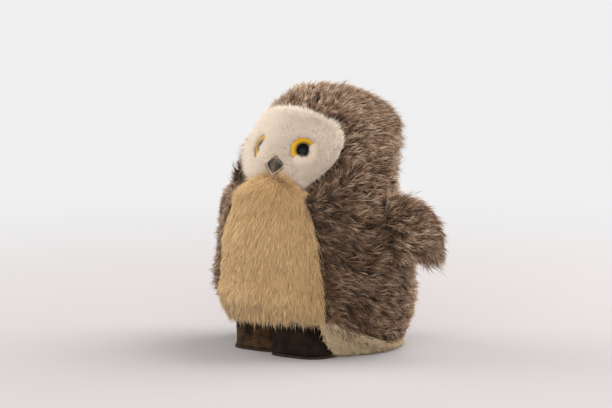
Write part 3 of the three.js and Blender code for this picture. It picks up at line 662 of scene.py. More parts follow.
def cloth_material(name, dark, light, scale, bump=0.3, sheen=0.3, spread=(0.32, 0.66)):
    """Woven or napped cloth: two sizes of noise vary its colour, and the finer one its relief."""
    material, tree, shader = new_material(name)
    broad, fine = noise(tree, scale), noise(tree, scale * 9, 6.0)
    total = add_node(tree, "Math", {0: broad, 1: fine}, operation="ADD").outputs[0]
    half = add_node(tree, "Math", {0: total, 1: 0.5}, operation="MULTIPLY").outputs[0]
    relief = add_node(tree, "Bump", {"Strength": bump, "Distance": 0.6 * MM, "Height": fine})
    feed(tree, shader, {
        "Base Color": ramp(tree, half, [(spread[0], dark), (spread[1], light)]), "Roughness": 0.9,
        "Normal": relief.outputs["Normal"], "Sheen Weight": sheen, "Specular IOR Level": 0.2,
    })
    return material


def plastic_material(name, colour, roughness, shine=0.5):
    """Moulded plastic with faint clouding in its colour and its roughness."""
    material, tree, shader = new_material(name)
    cloud = noise(tree, 260, 4.0)
    darker = tuple(c * 0.86 for c in colour)
    feed(tree, shader, {
        "Base Color": ramp(tree, cloud, [(0.3, darker), (0.7, colour)]),
        "Roughness": mapped(tree, cloud, 0, 1, roughness * 0.7, roughness * 1.4),
        "Specular IOR Level": shine,
    })
    return material


def painted_light_over(material, inner, outer, low, high, place=None):
    """Paints light or shade into a material's colour: scales it from low to high over a distance, from the
    inner to the outer one.

    The distance runs from the middle plane, or from a place and its mirror image.
    """
    tree = material.node_tree
    shader = tree.nodes["Principled BSDF"]
    split = add_node(tree, "SeparateXYZ", {0: add_node(tree, "TexCoord").outputs["Object"]})
    distance = add_node(tree, "Math", {0: split.outputs["X"]}, operation="ABSOLUTE").outputs[0]
    if place is not None:
        near_side = {"X": distance, "Y": split.outputs["Y"], "Z": split.outputs["Z"]}
        joined = add_node(tree, "CombineXYZ", near_side).outputs[0]
        distance = add_node(tree, "VectorMath", {0: joined, 1: place}, operation="DISTANCE").outputs["Value"]
    share = mapped(tree, distance, inner, outer, low, high)
    colour = shader.inputs["Base Color"].links[0].from_socket
    scaled = add_node(tree, "VectorMath", {0: colour, "Scale": share}, operation="SCALE")
    feed(tree, shader, {"Base Color": scaled.outputs["Vector"]})


def even_loop(corners, count):
    """Points spaced evenly along a closed line of corners."""
    corners = np.asarray(corners, float)
    closed = np.concatenate([corners, corners[:1]])
    runs = np.concatenate([[0], np.cumsum(np.linalg.norm(np.diff(closed, axis=0), axis=1))])
    at = np.linspace(0, runs[-1], count, endpoint=False)
    return np.stack([np.interp(at, runs, closed[:, k]) for k in range(closed.shape[1])], axis=1)


def patch(name, surface, loop, middle, depth, thickness, slot, material, mirrored=False):
    """A closed panel filled in from its edge towards a middle point, lying at a depth under the surface."""
    shares = np.linspace(1, 0, PATCH_RINGS + 1)[:-1]
    layers = []
    for down, order in ((depth + thickness, shares[::-1]), (depth, shares)):
        for share in order:
            at, normal = surface(middle + (loop - middle) * share)
            layers.append(at - normal * down)
    stack = np.stack(layers)
    if mirrored:
        stack = stack[:, ::-1] * (-1, 1, 1)
    return ring_body(name, stack, slot, material)


def body_panel_loop(left, right, low, high):
    """The edge of a body panel: its sides are angles that depend on the height, and its ends the reverse."""
    shares = np.linspace(0, 1, 60)
    corners = ([(s, 0.0) for s in shares] + [(1.0, s) for s in shares] + [(1 - s, 1.0) for s in shares]
               + [(0.0, 1 - s) for s in shares])
    edge = []
    for u, v in corners:
        angle, height = (left(60.0) + right(60.0)) / 2, 60.0
        for _ in range(SETTLING):
            angle = (1 - u) * left(height) + u * right(height)
            height = (1 - v) * low(angle) + v * high(angle)
        edge.append((float(angle), float(height)))
    scale = np.array([BODY_HALF, 1.0])
    return even_loop(np.asarray(edge) * scale, 180) / scale


def face_edge(height):
    """Direction angle of the face panel's edge at a height."""
    half = face_half_width(height)
    rows = smooth_row(HEAD_ROWS, np.asarray(height) / OWL_HEIGHT) * HEAD_HALF
    share = np.clip(half / rows[..., 1], 0, 0.999)
    depth = rows[..., 3] * (1 - share ** HEAD_POWERS[0]) ** (1 / HEAD_POWERS[0])
    return np.arctan2(half, depth)


def face_meets_neck():
    """The height and angle where the face panel's edge runs under the neck seam."""
    heights = np.linspace(FACE_CENTRE_HEIGHT - 2, 95, 200)
    angles = face_edge(heights)
    below = np.nonzero(heights < neck_height(angles))[0]
    first = below[0] if len(below) else len(heights) - 1
    return float(heights[first]), float(angles[first])


def head_loops():
    """Closed edges, as points on the head, of the face panel, the crown gusset and the left hood side."""
    top = FACE_CENTRE_HEIGHT + FACE_OUTLINE[0][1] * HEAD_HALF
    low_height, low_angle = face_meets_neck()
    heights = np.linspace(low_height, top - 0.02, 80)
    right_edge = head_point(face_edge(heights), heights)
    left_edge = right_edge[::-1] * (-1, 1, 1)
    angles = np.linspace(-low_angle, low_angle, 60)
    neck = head_point(angles, neck_height(angles) + 0.2)
    face = np.concatenate([neck, right_edge, left_edge])
    start_at = np.nonzero(right_edge[:, 0] < GUSSET_HALF)[0]
    gusset_front = right_edge[start_at[0]]
    turn_front = math.atan2(gusset_front[2] - HEAD_MIDDLE[2], HEAD_MIDDLE[1] - gusset_front[1])
    turns = np.linspace(turn_front, math.radians(184), 90)

    def over(x, spread):
        start = np.tile((x, HEAD_MIDDLE[1], HEAD_MIDDLE[2]), (len(spread), 1))
        return head_along(start, np.stack([np.zeros(len(spread)), -np.cos(spread), np.sin(spread)], axis=1))

    line = over(GUSSET_HALF, turns)
    line = line[line[:, 2] > neck_height(head_angle(line)) + 0.1]
    across = np.linspace(GUSSET_HALF, -GUSSET_HALF, 14)[1:-1]
    nape = np.array([over(x, np.array([math.radians(183)]))[0] for x in across])
    brow = right_edge[start_at[0]:]
    brow = np.concatenate([brow[::-1] * (-1, 1, 1), brow])
    crown = np.concatenate([brow[np.argsort(brow[:, 0])], line, nape, line[::-1] * (-1, 1, 1)])
    back_angle = float(head_angle(line[-1:])[0])
    angles = np.linspace(low_angle, back_angle, 90)
    under = head_point(angles, neck_height(angles) + 0.2)
    cheek = right_edge[:start_at[0] + 1][::-1]
    hood = np.concatenate([cheek, under, line[::-1]])
    return face, crown, hood


def directions_of(points):
    """Directions of points from the head's middle."""
    return unit(points - np.array(HEAD_MIDDLE))


class PlushOwlFurSettings(bpy.types.PropertyGroup):
    """Lengths and fullness of the pile."""

    brown_length: FloatProperty(name="Brown pile", description="Length of the brown hairs, mm", default=9.5,
                                min=3, max=20)
    brown_density: FloatProperty(name="Brown hairs", description="Brown hairs on each square mm",
                                 default=0.76, min=0.05, max=3)
    under_density: FloatProperty(name="Under fur", description="Under hairs on each square mm", default=0.7,
                                 min=0.05, max=3)
    bib_length: FloatProperty(name="Bib pile", description="Length of the bib's hairs, mm", default=10.0,
                              min=3, max=20)
    bib_density: FloatProperty(name="Bib hairs", description="Bib hairs on each square mm", default=1.7,
                               min=0.05, max=4)
    face_length: FloatProperty(name="Face pile", description="Length of the face's pile, mm", default=3.6,
                               min=1, max=8)
    face_density: FloatProperty(name="Face hairs", description="Hairs of the face on each square mm",
                                default=14.0, min=0.05, max=20)


class PlushOwlLookSettings(bpy.types.PropertyGroup):
    """Colours of the cloths, the eyes and the feet."""

    eye_colour: FloatVectorProperty(name="Iris", description="Yellow of the eye discs", subtype="COLOR",
                                    default=(0.6, 0.315, 0.0), min=0, max=1)
    suede_colour: FloatVectorProperty(name="Suede", description="Brown of the feet", subtype="COLOR",
                                      default=(0.038, 0.0175, 0.0065), min=0, max=1)
    face_colour: FloatVectorProperty(name="Face", description="Cream of the face", subtype="COLOR",
                                     default=(0.895, 0.785, 0.672), min=0, max=1)


class PlushOwlStageSettings(bpy.types.PropertyGroup):
    """The camera and the light."""

    azimuth: FloatProperty(name="Azimuth", description="Camera's angle round the owl, degrees", default=36)
    elevation: FloatProperty(name="Elevation", description="Camera's angle above the floor, degrees",
                             default=7.5)
    distance: FloatProperty(name="Distance", description="Camera's distance", default=2.2, unit="LENGTH")
    key: FloatProperty(name="Key light", description="Power of the key light, W", default=13)


def floor_material():
    """The floor sheet: pale cloth round the owl that brightens with distance into a glowing white."""
    material, tree, shader = new_material("floor_cloth")
    feed(tree, shader, {"Base Color": (0.42, 0.395, 0.394, 1), "Roughness": 1.0, "Specular IOR Level": 0.1})
    place = add_node(tree, "TexCoord").outputs["Object"]
    away = add_node(tree, "VectorMath", {0: place}, operation="LENGTH").outputs["Value"]
    share = mapped(tree, away, 0.15, 0.75, interpolation_type="SMOOTHSTEP")
    glow = add_node(tree, "Emission", {"Color": BACKDROP_COLOUR})
    mix = add_node(tree, "MixShader", {0: share, 1: shader.outputs["BSDF"], 2: glow.outputs["Emission"]})
    feed(tree, tree.nodes["Material Output"], {"Surface": mix.outputs["Shader"]})
    return material


def towards(turn, rise):
    """The direction at a turn round the owl from its front and a rise above the floor, both in radians."""
    return Vector((math.sin(turn) * math.cos(rise), -math.cos(turn) * math.cos(rise), math.sin(rise)))


def add_camera(scene, azimuth, elevation, distance):
    """A camera on the owl, with a lens that shows its middle at the photograph's scale."""
    aside = OWL_ASIDE * PIXEL * MM
    up = (FLOOR_ROW - PHOTO_SIZE[1] / 2) * PIXEL / math.cos(elevation) * MM
    target = Vector((aside * math.cos(azimuth), aside * math.sin(azimuth), up))
    away = towards(azimuth, elevation)
    data = bpy.data.cameras.new("camera")
    data.sensor_width = 36
    data.lens = 36 * distance / (PHOTO_SIZE[0] * PIXEL * MM)
    camera = bpy.data.objects.new("camera", data)
    camera.location = target + away * distance
    camera.rotation_euler = (-away).to_track_quat("-Z", "Y").to_euler()
    scene.collection.objects.link(camera)
    scene.camera = camera


def add_floor(scene):
    """A flat sheet under the owl, wide enough to fill the view."""
    mesh = bpy.data.meshes.new("floor")
    corners = [(x * FLOOR_REACH, y * FLOOR_REACH, 0) for x, y in ((-1, -1), (1, -1), (1, 1), (-1, 1))]
    mesh.from_pydata(corners, [], [(0, 1, 2, 3)])
    mesh.materials.append(floor_material())
    floor = bpy.data.objects.new("floor", mesh)
    scene.collection.objects.link(floor)


def add_world(scene):
    """Soft light from all round, behind a plain backdrop."""
    world = bpy.data.worlds.new("studio")
    world.use_nodes = True
    tree = world.node_tree
    feed(tree, tree.nodes["Background"], {"Color": (0.95, 0.96, 1.0, 1), "Strength": 0.6})
    seen = add_node(tree, "Background", {"Color": BACKDROP_COLOUR})
    path = add_node(tree, "LightPath")
    inputs = {0: path.outputs["Is Camera Ray"], 1: tree.nodes["Background"].outputs[0], 2: seen.outputs[0]}
    feed(tree, tree.nodes["World Output"], {"Surface": add_node(tree, "MixShader", inputs).outputs[0]})
    scene.world = world


def add_lamp(scene, azimuth, name, turn, rise, reach, size, power, colour):
    """An area lamp at a turn from the camera and a rise, looking at the owl's middle."""
    where = towards(azimuth + math.radians(turn), math.radians(rise)) * reach
    light = bpy.data.lights.new(name, "AREA")
    light.size = size
    light.energy = power
    light.color = colour
    piece = bpy.data.objects.new(name, light)
    piece.location = where + Vector((0, 0, LAMPS_LOOK_AT))
    piece.rotation_euler = (-where).to_track_quat("-Z", "Y").to_euler()
    scene.collection.objects.link(piece)


class PLUSHOWL_OT_stage(bpy.types.Operator):
    """Makes the floor, the lamps and the camera"""

    bl_idname = "plush_owl.stage"
    bl_label = "Stage"

    def execute(self, context):
        scene = context.scene
        stage = scene.plush_owl_stage
        azimuth = math.radians(stage.azimuth)
        add_camera(scene, azimuth, math.radians(stage.elevation), stage.distance)
        add_floor(scene)
        add_world(scene)
        for name, turn, rise, reach, size, share, colour in LAMPS:
            add_lamp(scene, azimuth, name, turn, rise, reach, size, stage.key * share, colour)
        scene.view_settings.view_transform = "Standard"
        return {"FINISHED"}


def brown_fur():
    """The mottled brown pile's material."""
    return bpy.data.materials.get("brown_pile") or fur_material(
        "brown_pile", BROWN_ROOTS, BROWN_MIDDLES, BROWN_TIPS, sheen=0.22)


def brown_cloth():
    """The dark backing under the brown pile."""
    return bpy.data.materials.get("brown_backing") or cloth_material(
        "brown_backing", (0.018, 0.01, 0.0055), (0.055, 0.031, 0.017), 300, sheen=0.0)


def brown_piles(length, fullness=1.0):
    """The long hairs and the shorter under fur of the brown panels, each with its tones."""
    fur = bpy.context.scene.plush_owl_fur
    hairs = Pile(length, fur.brown_density * fullness, tuft=1.3, per_tuft=6, depth=3.9, rise=24, lie=80,
                 turn=20, stray=12, gather=0.5, radius=0.165, steps=4, droop=0.06, uneven=0.2)
    under = Pile(length * 0.64, fur.under_density * fullness, tuft=1.6, per_tuft=6, depth=3.9, rise=8, lie=68,
                 turn=28, stray=22, gather=0.3, radius=0.25, steps=3, droop=0.03)
    return (("hair", hairs, mottled(0.5, 0.16, 0.27, 0.08, brown_painted_light)),
            ("under", under, mottled(0.24, 0.14, 0.14, 0.08, brown_painted_light)))


def round_body(angle):
    """The level direction in which each angle round the body grows."""
    return np.stack([np.cos(angle), np.sin(angle), np.zeros(len(angle))], axis=1)


def side_flow(at, normals):
    """On the body the brown pile is combed backwards and a little down."""
    angle = body_angle(at)
    back = round_body(angle) * np.sign(at[:, :1])
    fade = np.clip((180 - np.degrees(np.abs(angle))) / 50, 0, 1)[:, None]
    low = np.clip((at[:, 2:] - 70) / 45, -0.4, 1)
    wanted = back * (0.25 + 0.75 * fade) + DOWN * (0.16 + 0.6 * (1 - fade) - 0.12 * low)
    return flat_on(wanted, normals)


def hood_flow(at, normals):
    """On the head the pile runs away from the face, up over the crown and down the back."""
    behind = np.clip((at[:, 1:2] - 8) / 40, 0, 1)
    wanted = unit(at - (0, -42.0, 122.0)) * (1 - 0.6 * behind) + np.array((0, 0.2, -1.0)) * behind
    return flat_on(wanted, normals)


def behind_feet(points):
    """A ring of the base panel, held back in front to a straight line behind the feet."""
    radius = np.hypot(points[:, 0], points[:, 1])
    ahead = np.cos(BASE_ANGLES)
    limit = np.where(ahead > 0.05, BASE["straight"] / np.maximum(ahead, 0.05), radius)
    free = np.clip((np.degrees(np.abs(BASE_ANGLES)) - 34) / 10, 0, 1)
    wanted = free * radius + (1 - free) * np.minimum(limit, radius)
    return points * np.stack([wanted / radius, wanted / radius, np.ones(len(points))], axis=1)


def base_rings():
    """Rings of the base panel: flat underneath, up round the body to its seam, and back down inside."""
    def up_to_seam(low, share):
        heights = low + (base_height(BASE_ANGLES) - low) * share
        return body_surface(np.stack([BASE_ANGLES, heights], axis=1))

    tucked = 1 - 0.1 * band(np.degrees(BASE_ANGLES), -58, 30)[:, None] * np.array((1, 1, 0))
    rings = []
    for share in (0.05, 0.4, 0.75, 0.96):
        ring = behind_feet(body_point(BASE_ANGLES, 1.0) * (share, share, 0))
        ring[:, 2] = BASE["under"]
        rings.append(ring * tucked)
    for share, depth in ((0.08, 0.5), (0.2, 1.4), (0.4, 1.4), (0.6, 1.4), (0.8, 1.4), (1.0, 1.4)):
        at, normal = up_to_seam(BASE["under"], share)
        rings.append(behind_feet(at - normal * depth) * tucked)
    for share in (1.0, 0.5, 0.2):
        at, normal = up_to_seam(1.4, share)
        ring = behind_feet(at - normal * BASE["inside"]) * tucked
        ring[:, 2] = np.maximum(ring[:, 2], BASE["floor"])
        rings.append(ring)
    ring = rings[-1] * (0.5, 0.5, 1)
    ring[:, 2] = BASE["floor"]
    return np.stack(rings + [ring])


def body_fibre_rings():
    """Rings of the body's filling: the body's own rings, slimmer and kept under the neck seam."""
    rings = []
    for height in np.linspace(23, 116, 24):
        heights = np.minimum(height, neck_height(BASE_ANGLES) - 6)
        rings.append(body_point(BASE_ANGLES, heights) * (0.84, 0.84, 1))
    return np.stack(rings)


class PLUSHOWL_OT_body_panels(bpy.types.Operator):
    """Makes the bib's, the sides' and the base's cloth and the filling inside them"""

    bl_idname = "plush_owl.body_panels"
    bl_label = "Body panels"

    def execute(self, context):
        gap = SEAM_GAP / BODY_HALF
        loop = body_panel_loop(lambda z: bib_angle(z) + gap, lambda z: math.pi, base_height, neck_height)
        middle = np.array((math.radians(100), 58.0))
        for word, side in SIDES:
            cloth = patch(f"side_cloth_{word}", body_surface, loop, middle, *BACKING, "brown_fur",
                          brown_cloth(), mirrored=side < 0)
            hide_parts(f"side_panel_{word}")
        bib_cloth = cloth_material("bib_backing", (0.2, 0.13, 0.07), (0.42, 0.3, 0.17), 300)
        loop = body_panel_loop(lambda z: -bib_angle(z), bib_angle, base_height, neck_height)
        piece = patch("bib_cloth", body_surface, loop, np.array((0.0, 60.0)), 2.2, 1.6, "tan_fur", bib_cloth)
        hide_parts("bib_panel")
        base_cloth = cloth_material("base_cloth", (0.5, 0.38, 0.22), (0.68, 0.54, 0.34), 420, bump=0.5)
        piece = ring_body("base_cloth", base_rings(), "base_cloth", base_cloth)
        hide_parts("base_panel")
        fibre = cloth_material("fibre", (0.7, 0.69, 0.66), (0.88, 0.87, 0.84), 200, bump=0.8)
        piece = ring_body("body_fibre", body_fibre_rings(), "fibre", fibre)
        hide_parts("body_filling")
        return {"FINISHED"}


def head_fibre_rings():
    """Rings of the head's filling: directions level round the head's middle, drawn in towards it."""
    angles = np.linspace(-np.pi, np.pi, 90, endpoint=False)
    middle = np.array(HEAD_MIDDLE)
    rings = []
    for rise in np.linspace(-0.32, 0.999, 22):
        flat = math.sqrt(1 - rise * rise)
        directions = np.stack([flat * np.sin(angles), -flat * np.cos(angles), np.full(90, rise)], axis=1)
        rings.append(middle + (head_along(middle, unit(directions)) - middle) * 0.83)
    return np.stack(rings)


class PLUSHOWL_OT_head_panels(bpy.types.Operator):
    """Makes the face's, the gusset's and the hood's cloth and the filling inside them"""

    bl_idname = "plush_owl.head_panels"
    bl_label = "Head panels"

    def execute(self, context):
        def filled(name, loop, middle, depths, slot, material, mirrored=False):
            edge, centre = directions_of(even_loop(loop, 200)), directions_of(np.array([middle]))
            return patch(name, head_surface, edge, centre, *depths, slot, material, mirrored)

        face, crown, hood = head_loops()
        face_cloth = cloth_material("face_cloth", (0.74, 0.65, 0.53), (0.84, 0.76, 0.64), 420, bump=0.4)
        piece = filled("face_cloth", face, (0, -45.0, 122.0), (1.3, 2.0), "cream_pile", face_cloth)
        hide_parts("face_panel")
        piece = filled("crown_cloth", crown, (0, 6.0, 170.0), BACKING, "brown_fur", brown_cloth())
        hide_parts("crown_gusset")
        for word, side in SIDES:
            piece = filled(f"hood_cloth_{word}", hood, (45.0, 12.0, 128.0), BACKING, "brown_fur",
                           brown_cloth(), mirrored=side < 0)
            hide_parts(f"hood_side_{word}")
        piece = ring_body("head_fibre", head_fibre_rings(), "fibre", bpy.data.materials["fibre"])
        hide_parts("head_filling")
        return {"FINISHED"}


def hem(angle):
    """How far the sides' pile hangs over the base's seam: most at the owl's sides, fading to both ends."""
    return 5.5 * near(np.abs(np.degrees(np.abs(angle)) - 94) - 34, 34)


def on_side(side, margin=0.01):
    """A test for points on a side panel, by angle and place: behind the bib's seam and above the hem."""
    def inside(angle, at):
        return (angle * side > bib_angle(at[:, 2]) + margin) & (at[:, 2] > base_height(angle) - hem(angle))
    return inside


def grow_side(number, word, side, kind, pile, tone):
    """One side's pile: raised along the bib's seam and the neck, and shorter low down and on the far side."""
    panel = on_side(side)
    strips = (
        (14300, panel),
        (900, lambda angle, at: panel(angle, at) & (angle * side < bib_angle(at[:, 2]) + 0.12)),
        (600, lambda angle, at: panel(angle, at) & (at[:, 2] < base_height(angle) - hem(angle) + 5)),
    )
    rng = np.random.default_rng(40 + number)
    at, normals = sown(sample_body, strips, pile, rng)
    angle, height = body_angle(at), at[:, 2]
    turned, under_neck, far_side = np.degrees(np.abs(angle)), neck_height(angle) - height, side < 0
    seam = near((angle * side - bib_angle(height)) * BODY_HALF, 9)
    base = near(height - base_height(angle), 9)
    wing = band(turned, WING["angle"] - 4, 15) * (height > 52) * (height < 98)
    far = band(turned, 56, 36) * band(height, 84, 40) * far_side
    neck = near(under_neck, 8) * (1 - far)
    shoulder = near(under_neck - 2, 10) * far_side
    heel = band(turned, 122, 58) * near(height - 8, 32)
    foot = band(turned, 54, 40) * near(height - 24, 20) * far_side
    reversed_share = 0.5 * seam * (height > 88) * (1 - far)
    forward = 1 - 1.6 * (rng.random(len(at)) < reversed_share)[:, None]
    combed = side_flow(at, normals) * forward * (1 - 0.5 * seam[:, None])
    flows = flat_on(combed + DOWN * (0.4 * seam + 0.8 * base)[:, None], normals)
    stand = 30 * seam * (1 - far) + 18 * wing + 24 * neck * (side > 0)
    size = 1 - 0.15 * seam - 0.12 * base + 0.12 * wing - 0.5 * far + 0.1 * neck
    size = size * (1 - 0.35 * shoulder) * (1 - 0.55 * heel) * (1 - 0.6 * foot)
    edge = on_side(side, 0)
    grow(f"side_{kind}_{word}", at, normals, flows, pile, 50 + number, lambda p: edge(body_angle(p), p), tone,
         "brown_fur", brown_fur(), stand, size)


def grow_hood(number, word, side, kind, pile, tone):
    """The pile of a hood side or, with side 0, the crown: it stands round the face and some tufts turn in."""
    def inside(at):
        outside = (face_distance(at) > -0.6) | (at[:, 1] > 0)
        return outside & ((np.abs(at[:, 0]) < GUSSET_HALF) if side == 0 else (at[:, 0] * side > GUSSET_HALF))

    rng = np.random.default_rng(60 + number)
    at, normals = sown(sample_head, [(2990 if side == 0 else 6785, inside)], pile, rng)
    edge = near(np.where(at[:, 1] < 0, face_distance(at), 99), 7)
    neck = near(at[:, 2] - neck_height(head_angle(at)), 9)
    top = np.clip((at[:, 2] - 138) / 15, 0, 1)
    turned_in = (rng.random(len(at)) < 0.22 * edge)[:, None]
    flows = hood_flow(at, normals)
    flows = np.where(turned_in, flat_on(DOWN - 0.5 * flows, normals), flows)
    grow(f"hood_{kind}_{word}", at, normals, flows, pile, 70 + number, inside, tone, "brown_fur", brown_fur(),
         stand=26 * edge + 14 * neck * (at[:, 0] > 0),
         size=1 - 0.25 * edge - 0.45 * neck * (at[:, 0] < -12) - 0.18 * top)


class PLUSHOWL_OT_brown_fur(bpy.types.Operator):
    """Grows the brown pile on the sides, the hood and the crown"""

    bl_idname = "plush_owl.brown_fur"
    bl_label = "Brown fur"

    def execute(self, context):
        for kind_of_pile in brown_piles(context.scene.plush_owl_fur.brown_length):
            for number, (word, side) in enumerate(SIDES):
                grow_side(number, word, side, *kind_of_pile)
            for number, (word, side) in enumerate((*SIDES, ("crown", 0))):
                grow_hood(number, word, side, *kind_of_pile)
        return {"FINISHED"}


def grow_bib(kind, pile, seed, tone, tan):
    """The bib's pile, straight down, raised under the beak and cut shorter at its corners, edges and hem."""
    def on_bib(angle, at):
        return (np.abs(angle) < bib_angle(at[:, 2]) - 0.01) & (at[:, 2] > base_height(angle) + 1)

    def on_crest(angle, at):
        return on_bib(angle, at) & (neck_height(angle) - at[:, 2] < 7)

    def keep(at):
        angle = body_angle(at)
        return (np.abs(angle) < bib_angle(at[:, 2])) & (at[:, 2] > base_height(angle))

    at, normals = sown(sample_body, ((6350, on_bib), (850, on_crest)), pile, np.random.default_rng(seed))
    angle, far_side = body_angle(at), at[:, 0] < 0
    inward = (bib_angle(at[:, 2]) - np.abs(angle)) * BODY_HALF
    under_neck = neck_height(angle) - at[:, 2]
    edge = near(inward, 7)
    far = near(inward, 10) * far_side * np.clip((at[:, 2] - 34) / 15, 0, 1)
    crest = near(under_neck, 8)
    lip = near(under_neck, 1.2)
    beak = near(np.abs(at[:, 0]) - 3, 3) * near(under_neck - 2, 3)
    corner = near(inward, np.where(far_side, 11, 5)) * np.clip((at[:, 2] - 80) / 14, 0, 1)
    fringe = near(at[:, 2] - base_height(angle), 12)
    aside = round_body(angle) * np.sign(angle)[:, None]
    spread = 0.4 * edge * (at[:, 0] > 0) * (1 - crest) - 0.5 * corner
    flows = flat_on(DOWN * (1 - 2 * lip)[:, None] + aside * spread[:, None], normals)
    size = (1 - 0.08 * crest - 0.15 * lip) * (1 - 0.3 * beak) * (1 - 0.4 * far) * (1 - 0.2 * fringe)
    grow(f"bib_{kind}", at, normals, flows, pile, seed + 1, keep, tone, "tan_fur", tan,
         stand=(20 * crest + 14 * lip) * (1 - corner), size=size * (1 - 0.5 * corner))


def bib_pale_hem_and_painted_shade(at):
    """The tan pile is paler at its hem, and has painted shade at its top under the beak: a little darker
    there.
    """
    angle = body_angle(at)
    pale = 0.2 * near(at[:, 2] - base_height(angle) - 3, 14)
    # Painted shade at the top of the bib, under the head
    return pale - 0.16 * near(neck_height(angle) - at[:, 2] - 4, 30)


def grow_base(cream):
    """The base's short pile, where it shows behind and beside the feet."""
    def on_base(angle, at):
        shown = (angle > math.radians(37)) | (angle < -math.radians(86))
        return (at[:, 2] < base_height(angle) - 0.2) & shown & (at[:, 2] > 0.8)

    def keep(at):
        return (at[:, 2] < base_height(body_angle(at))) & (at[:, 2] > 0.8)

    short = Pile(4.6, 4.5, tuft=2.4, per_tuft=6, depth=1.9, rise=22, lie=70, turn=18, stray=22, gather=0.15,
                 radius=0.18, steps=3, droop=0.05)
    at, normals = sown(sample_body, [(1500, on_base)], short, np.random.default_rng(82))
    back = round_body(body_angle(at)) * np.sign(at[:, :1])
    flows = flat_on(back * 0.8 + DOWN, normals)
    grow("base_hair", at, normals, flows, short, 83, keep, mottled(0.5, 0.1, 0.15), "base_cloth", cream)


class PLUSHOWL_OT_bib_fur(bpy.types.Operator):
    """Grows the tan pile of the bib and the cream pile of the base"""

    bl_idname = "plush_owl.bib_fur"
    bl_label = "Bib and base fur"

    def execute(self, context):
        fur = context.scene.plush_owl_fur
        tan = fur_material("tan_pile", TAN_ROOTS, TAN_MIDDLES, TAN_TIPS)
        shared = {"tuft": 2.2, "per_tuft": 5, "depth": 3.2, "swirl": 0.15}
        hairs = Pile(fur.bib_length * 1.1, fur.bib_density, rise=46, lie=88, turn=3, stray=4, gather=0.12,
                     radius=0.17, steps=4, droop=0.12, uneven=0.08, **shared)
        under = Pile(fur.bib_length * 0.8, fur.bib_density, rise=48, lie=80, turn=5, stray=6, gather=0.0,
                     radius=0.22, steps=3, droop=0.1, uneven=0.1, **shared)
        grow_bib("hair", hairs, 80, mottled(0.5, 0.05, 0.19, 0.06, bib_pale_hem_and_painted_shade), tan)
        grow_bib("under", under, 85, mottled(0.4, 0.05, 0.1, 0.06, bib_pale_hem_and_painted_shade), tan)
        grow_base(fur_material("base_pile", [(0, (0.44, 0.31, 0.16)), (1, (0.56, 0.42, 0.24))],
                               [(0, (0.64, 0.48, 0.27)), (1, (0.82, 0.66, 0.42))],
                               [(0, (0.72, 0.56, 0.33)), (1, (0.92, 0.78, 0.54))]))
        return {"FINISHED"}


EYE = {
    "diameter": 15.0, "spacing": 31.2, "height": 123.18, "turn": {1: 34.0, -1: 27.0}, "tilt": 21.0,
    "rim": 1.0, "dome": 1.9, "sink": 2.0, "pupil": 7.4, "pupil_dome": 1.0, "seat": 0.8,
    "seat_clearance": 0.15, "shank": 4.6, "shank_length": 11.0,
}
EYE_DOME_SHARES = (1, 0.995, 0.98, 0.95, 0.9, 0.84, 0.77, 0.7, 0.62)


def eye_frame(side):
    """An eye's own frame: on the face, with its axis (+Y of a lathe) pointing out of the face."""
    rows = smooth_row(HEAD_ROWS, EYE["height"] / OWL_HEIGHT) * HEAD_HALF
    across = EYE["spacing"] / 2
    ahead = rows[3] * (1 - (across / rows[1]) ** HEAD_POWERS[0]) ** (1 / HEAD_POWERS[0])
    place = Vector((side * across, rows[2] - ahead, EYE["height"]))
    aim = (Matrix.Rotation(math.radians(side * EYE["turn"][side]), 4, "Z")
           @ Matrix.Rotation(math.radians(-EYE["tilt"]), 4, "X") @ Matrix.Rotation(math.pi, 4, "X"))
    return Matrix.Translation(place) @ aim @ Matrix.Translation((0, -EYE["sink"], 0))


def placed(place, points):
    """Points moved from their own frame by a placing matrix."""
    matrix = np.array(place)
    return points @ matrix[:3, :3].T + matrix[:3, 3]


def turned(name, profile, place, slot, material, segments=72):
    """A lathe body: a profile of (radius, height), from below on the axis to above on it, turned about Y."""
    radii, heights = np.array(profile).T
    turns = np.linspace(0, 2 * np.pi, segments, endpoint=False)
    rings = np.stack([radii[:, None] * np.sin(turns), np.repeat(heights[:, None], segments, axis=1),
                      radii[:, None] * np.cos(turns)], axis=-1)
    return ring_body(name, placed(place, rings)[1:-1], slot, material)


def eye_dome(radius):
    """Height of the yellow disc's dome at a radius: an ellipse from its rim to its middle."""
    share = radius / (EYE["diameter"] / 2)
    return EYE["rim"] + (EYE["dome"] - EYE["rim"]) * math.sqrt(max(1 - share**2, 0))


def iris_profile():
    """The yellow disc with its shank below and the pupil's seat in its middle."""
    rim, shank, end = EYE["diameter"] / 2, EYE["shank"] / 2, -EYE["shank_length"]
    seat = EYE["pupil"] / 2 + EYE["seat_clearance"]
    floor = eye_dome(seat) - EYE["seat"]
    stem = [(0, end), (shank * 0.7, end), (shank, end + 1.2), (shank, -0.9), (shank + 0.3, -EYE["rim"] / 2)]
    turn_up = [(rim * 0.9, -EYE["rim"] / 2), (rim * 0.98, -0.3), (rim, 0)]
    radii = [rim * share for share in EYE_DOME_SHARES if rim * share > seat + 0.2]
    dome = [(radius, eye_dome(radius)) for radius in radii]
    lip = [(seat + 0.12, eye_dome(seat)), (seat, eye_dome(seat) - 0.1)]
    return stem + turn_up + dome + lip + [(seat, floor), (0.01, floor), (0, floor)]


def pupil_profile():
    """The black dome: upright from the seat to the disc, and a quarter of an ellipse above."""
    pupil = EYE["pupil"] / 2
    edge = eye_dome(pupil)
    foot = eye_dome(pupil + EYE["seat_clearance"]) - EYE["seat"] + 0.1
    arc = [(pupil * math.cos(t), edge + EYE["pupil_dome"] * math.sin(t))
           for t in np.linspace(0, math.pi / 2, 16)[:-1]]
    return [(0, foot), (0.01, foot), (pupil, foot)] + arc + [(0, edge + EYE["pupil_dome"])]


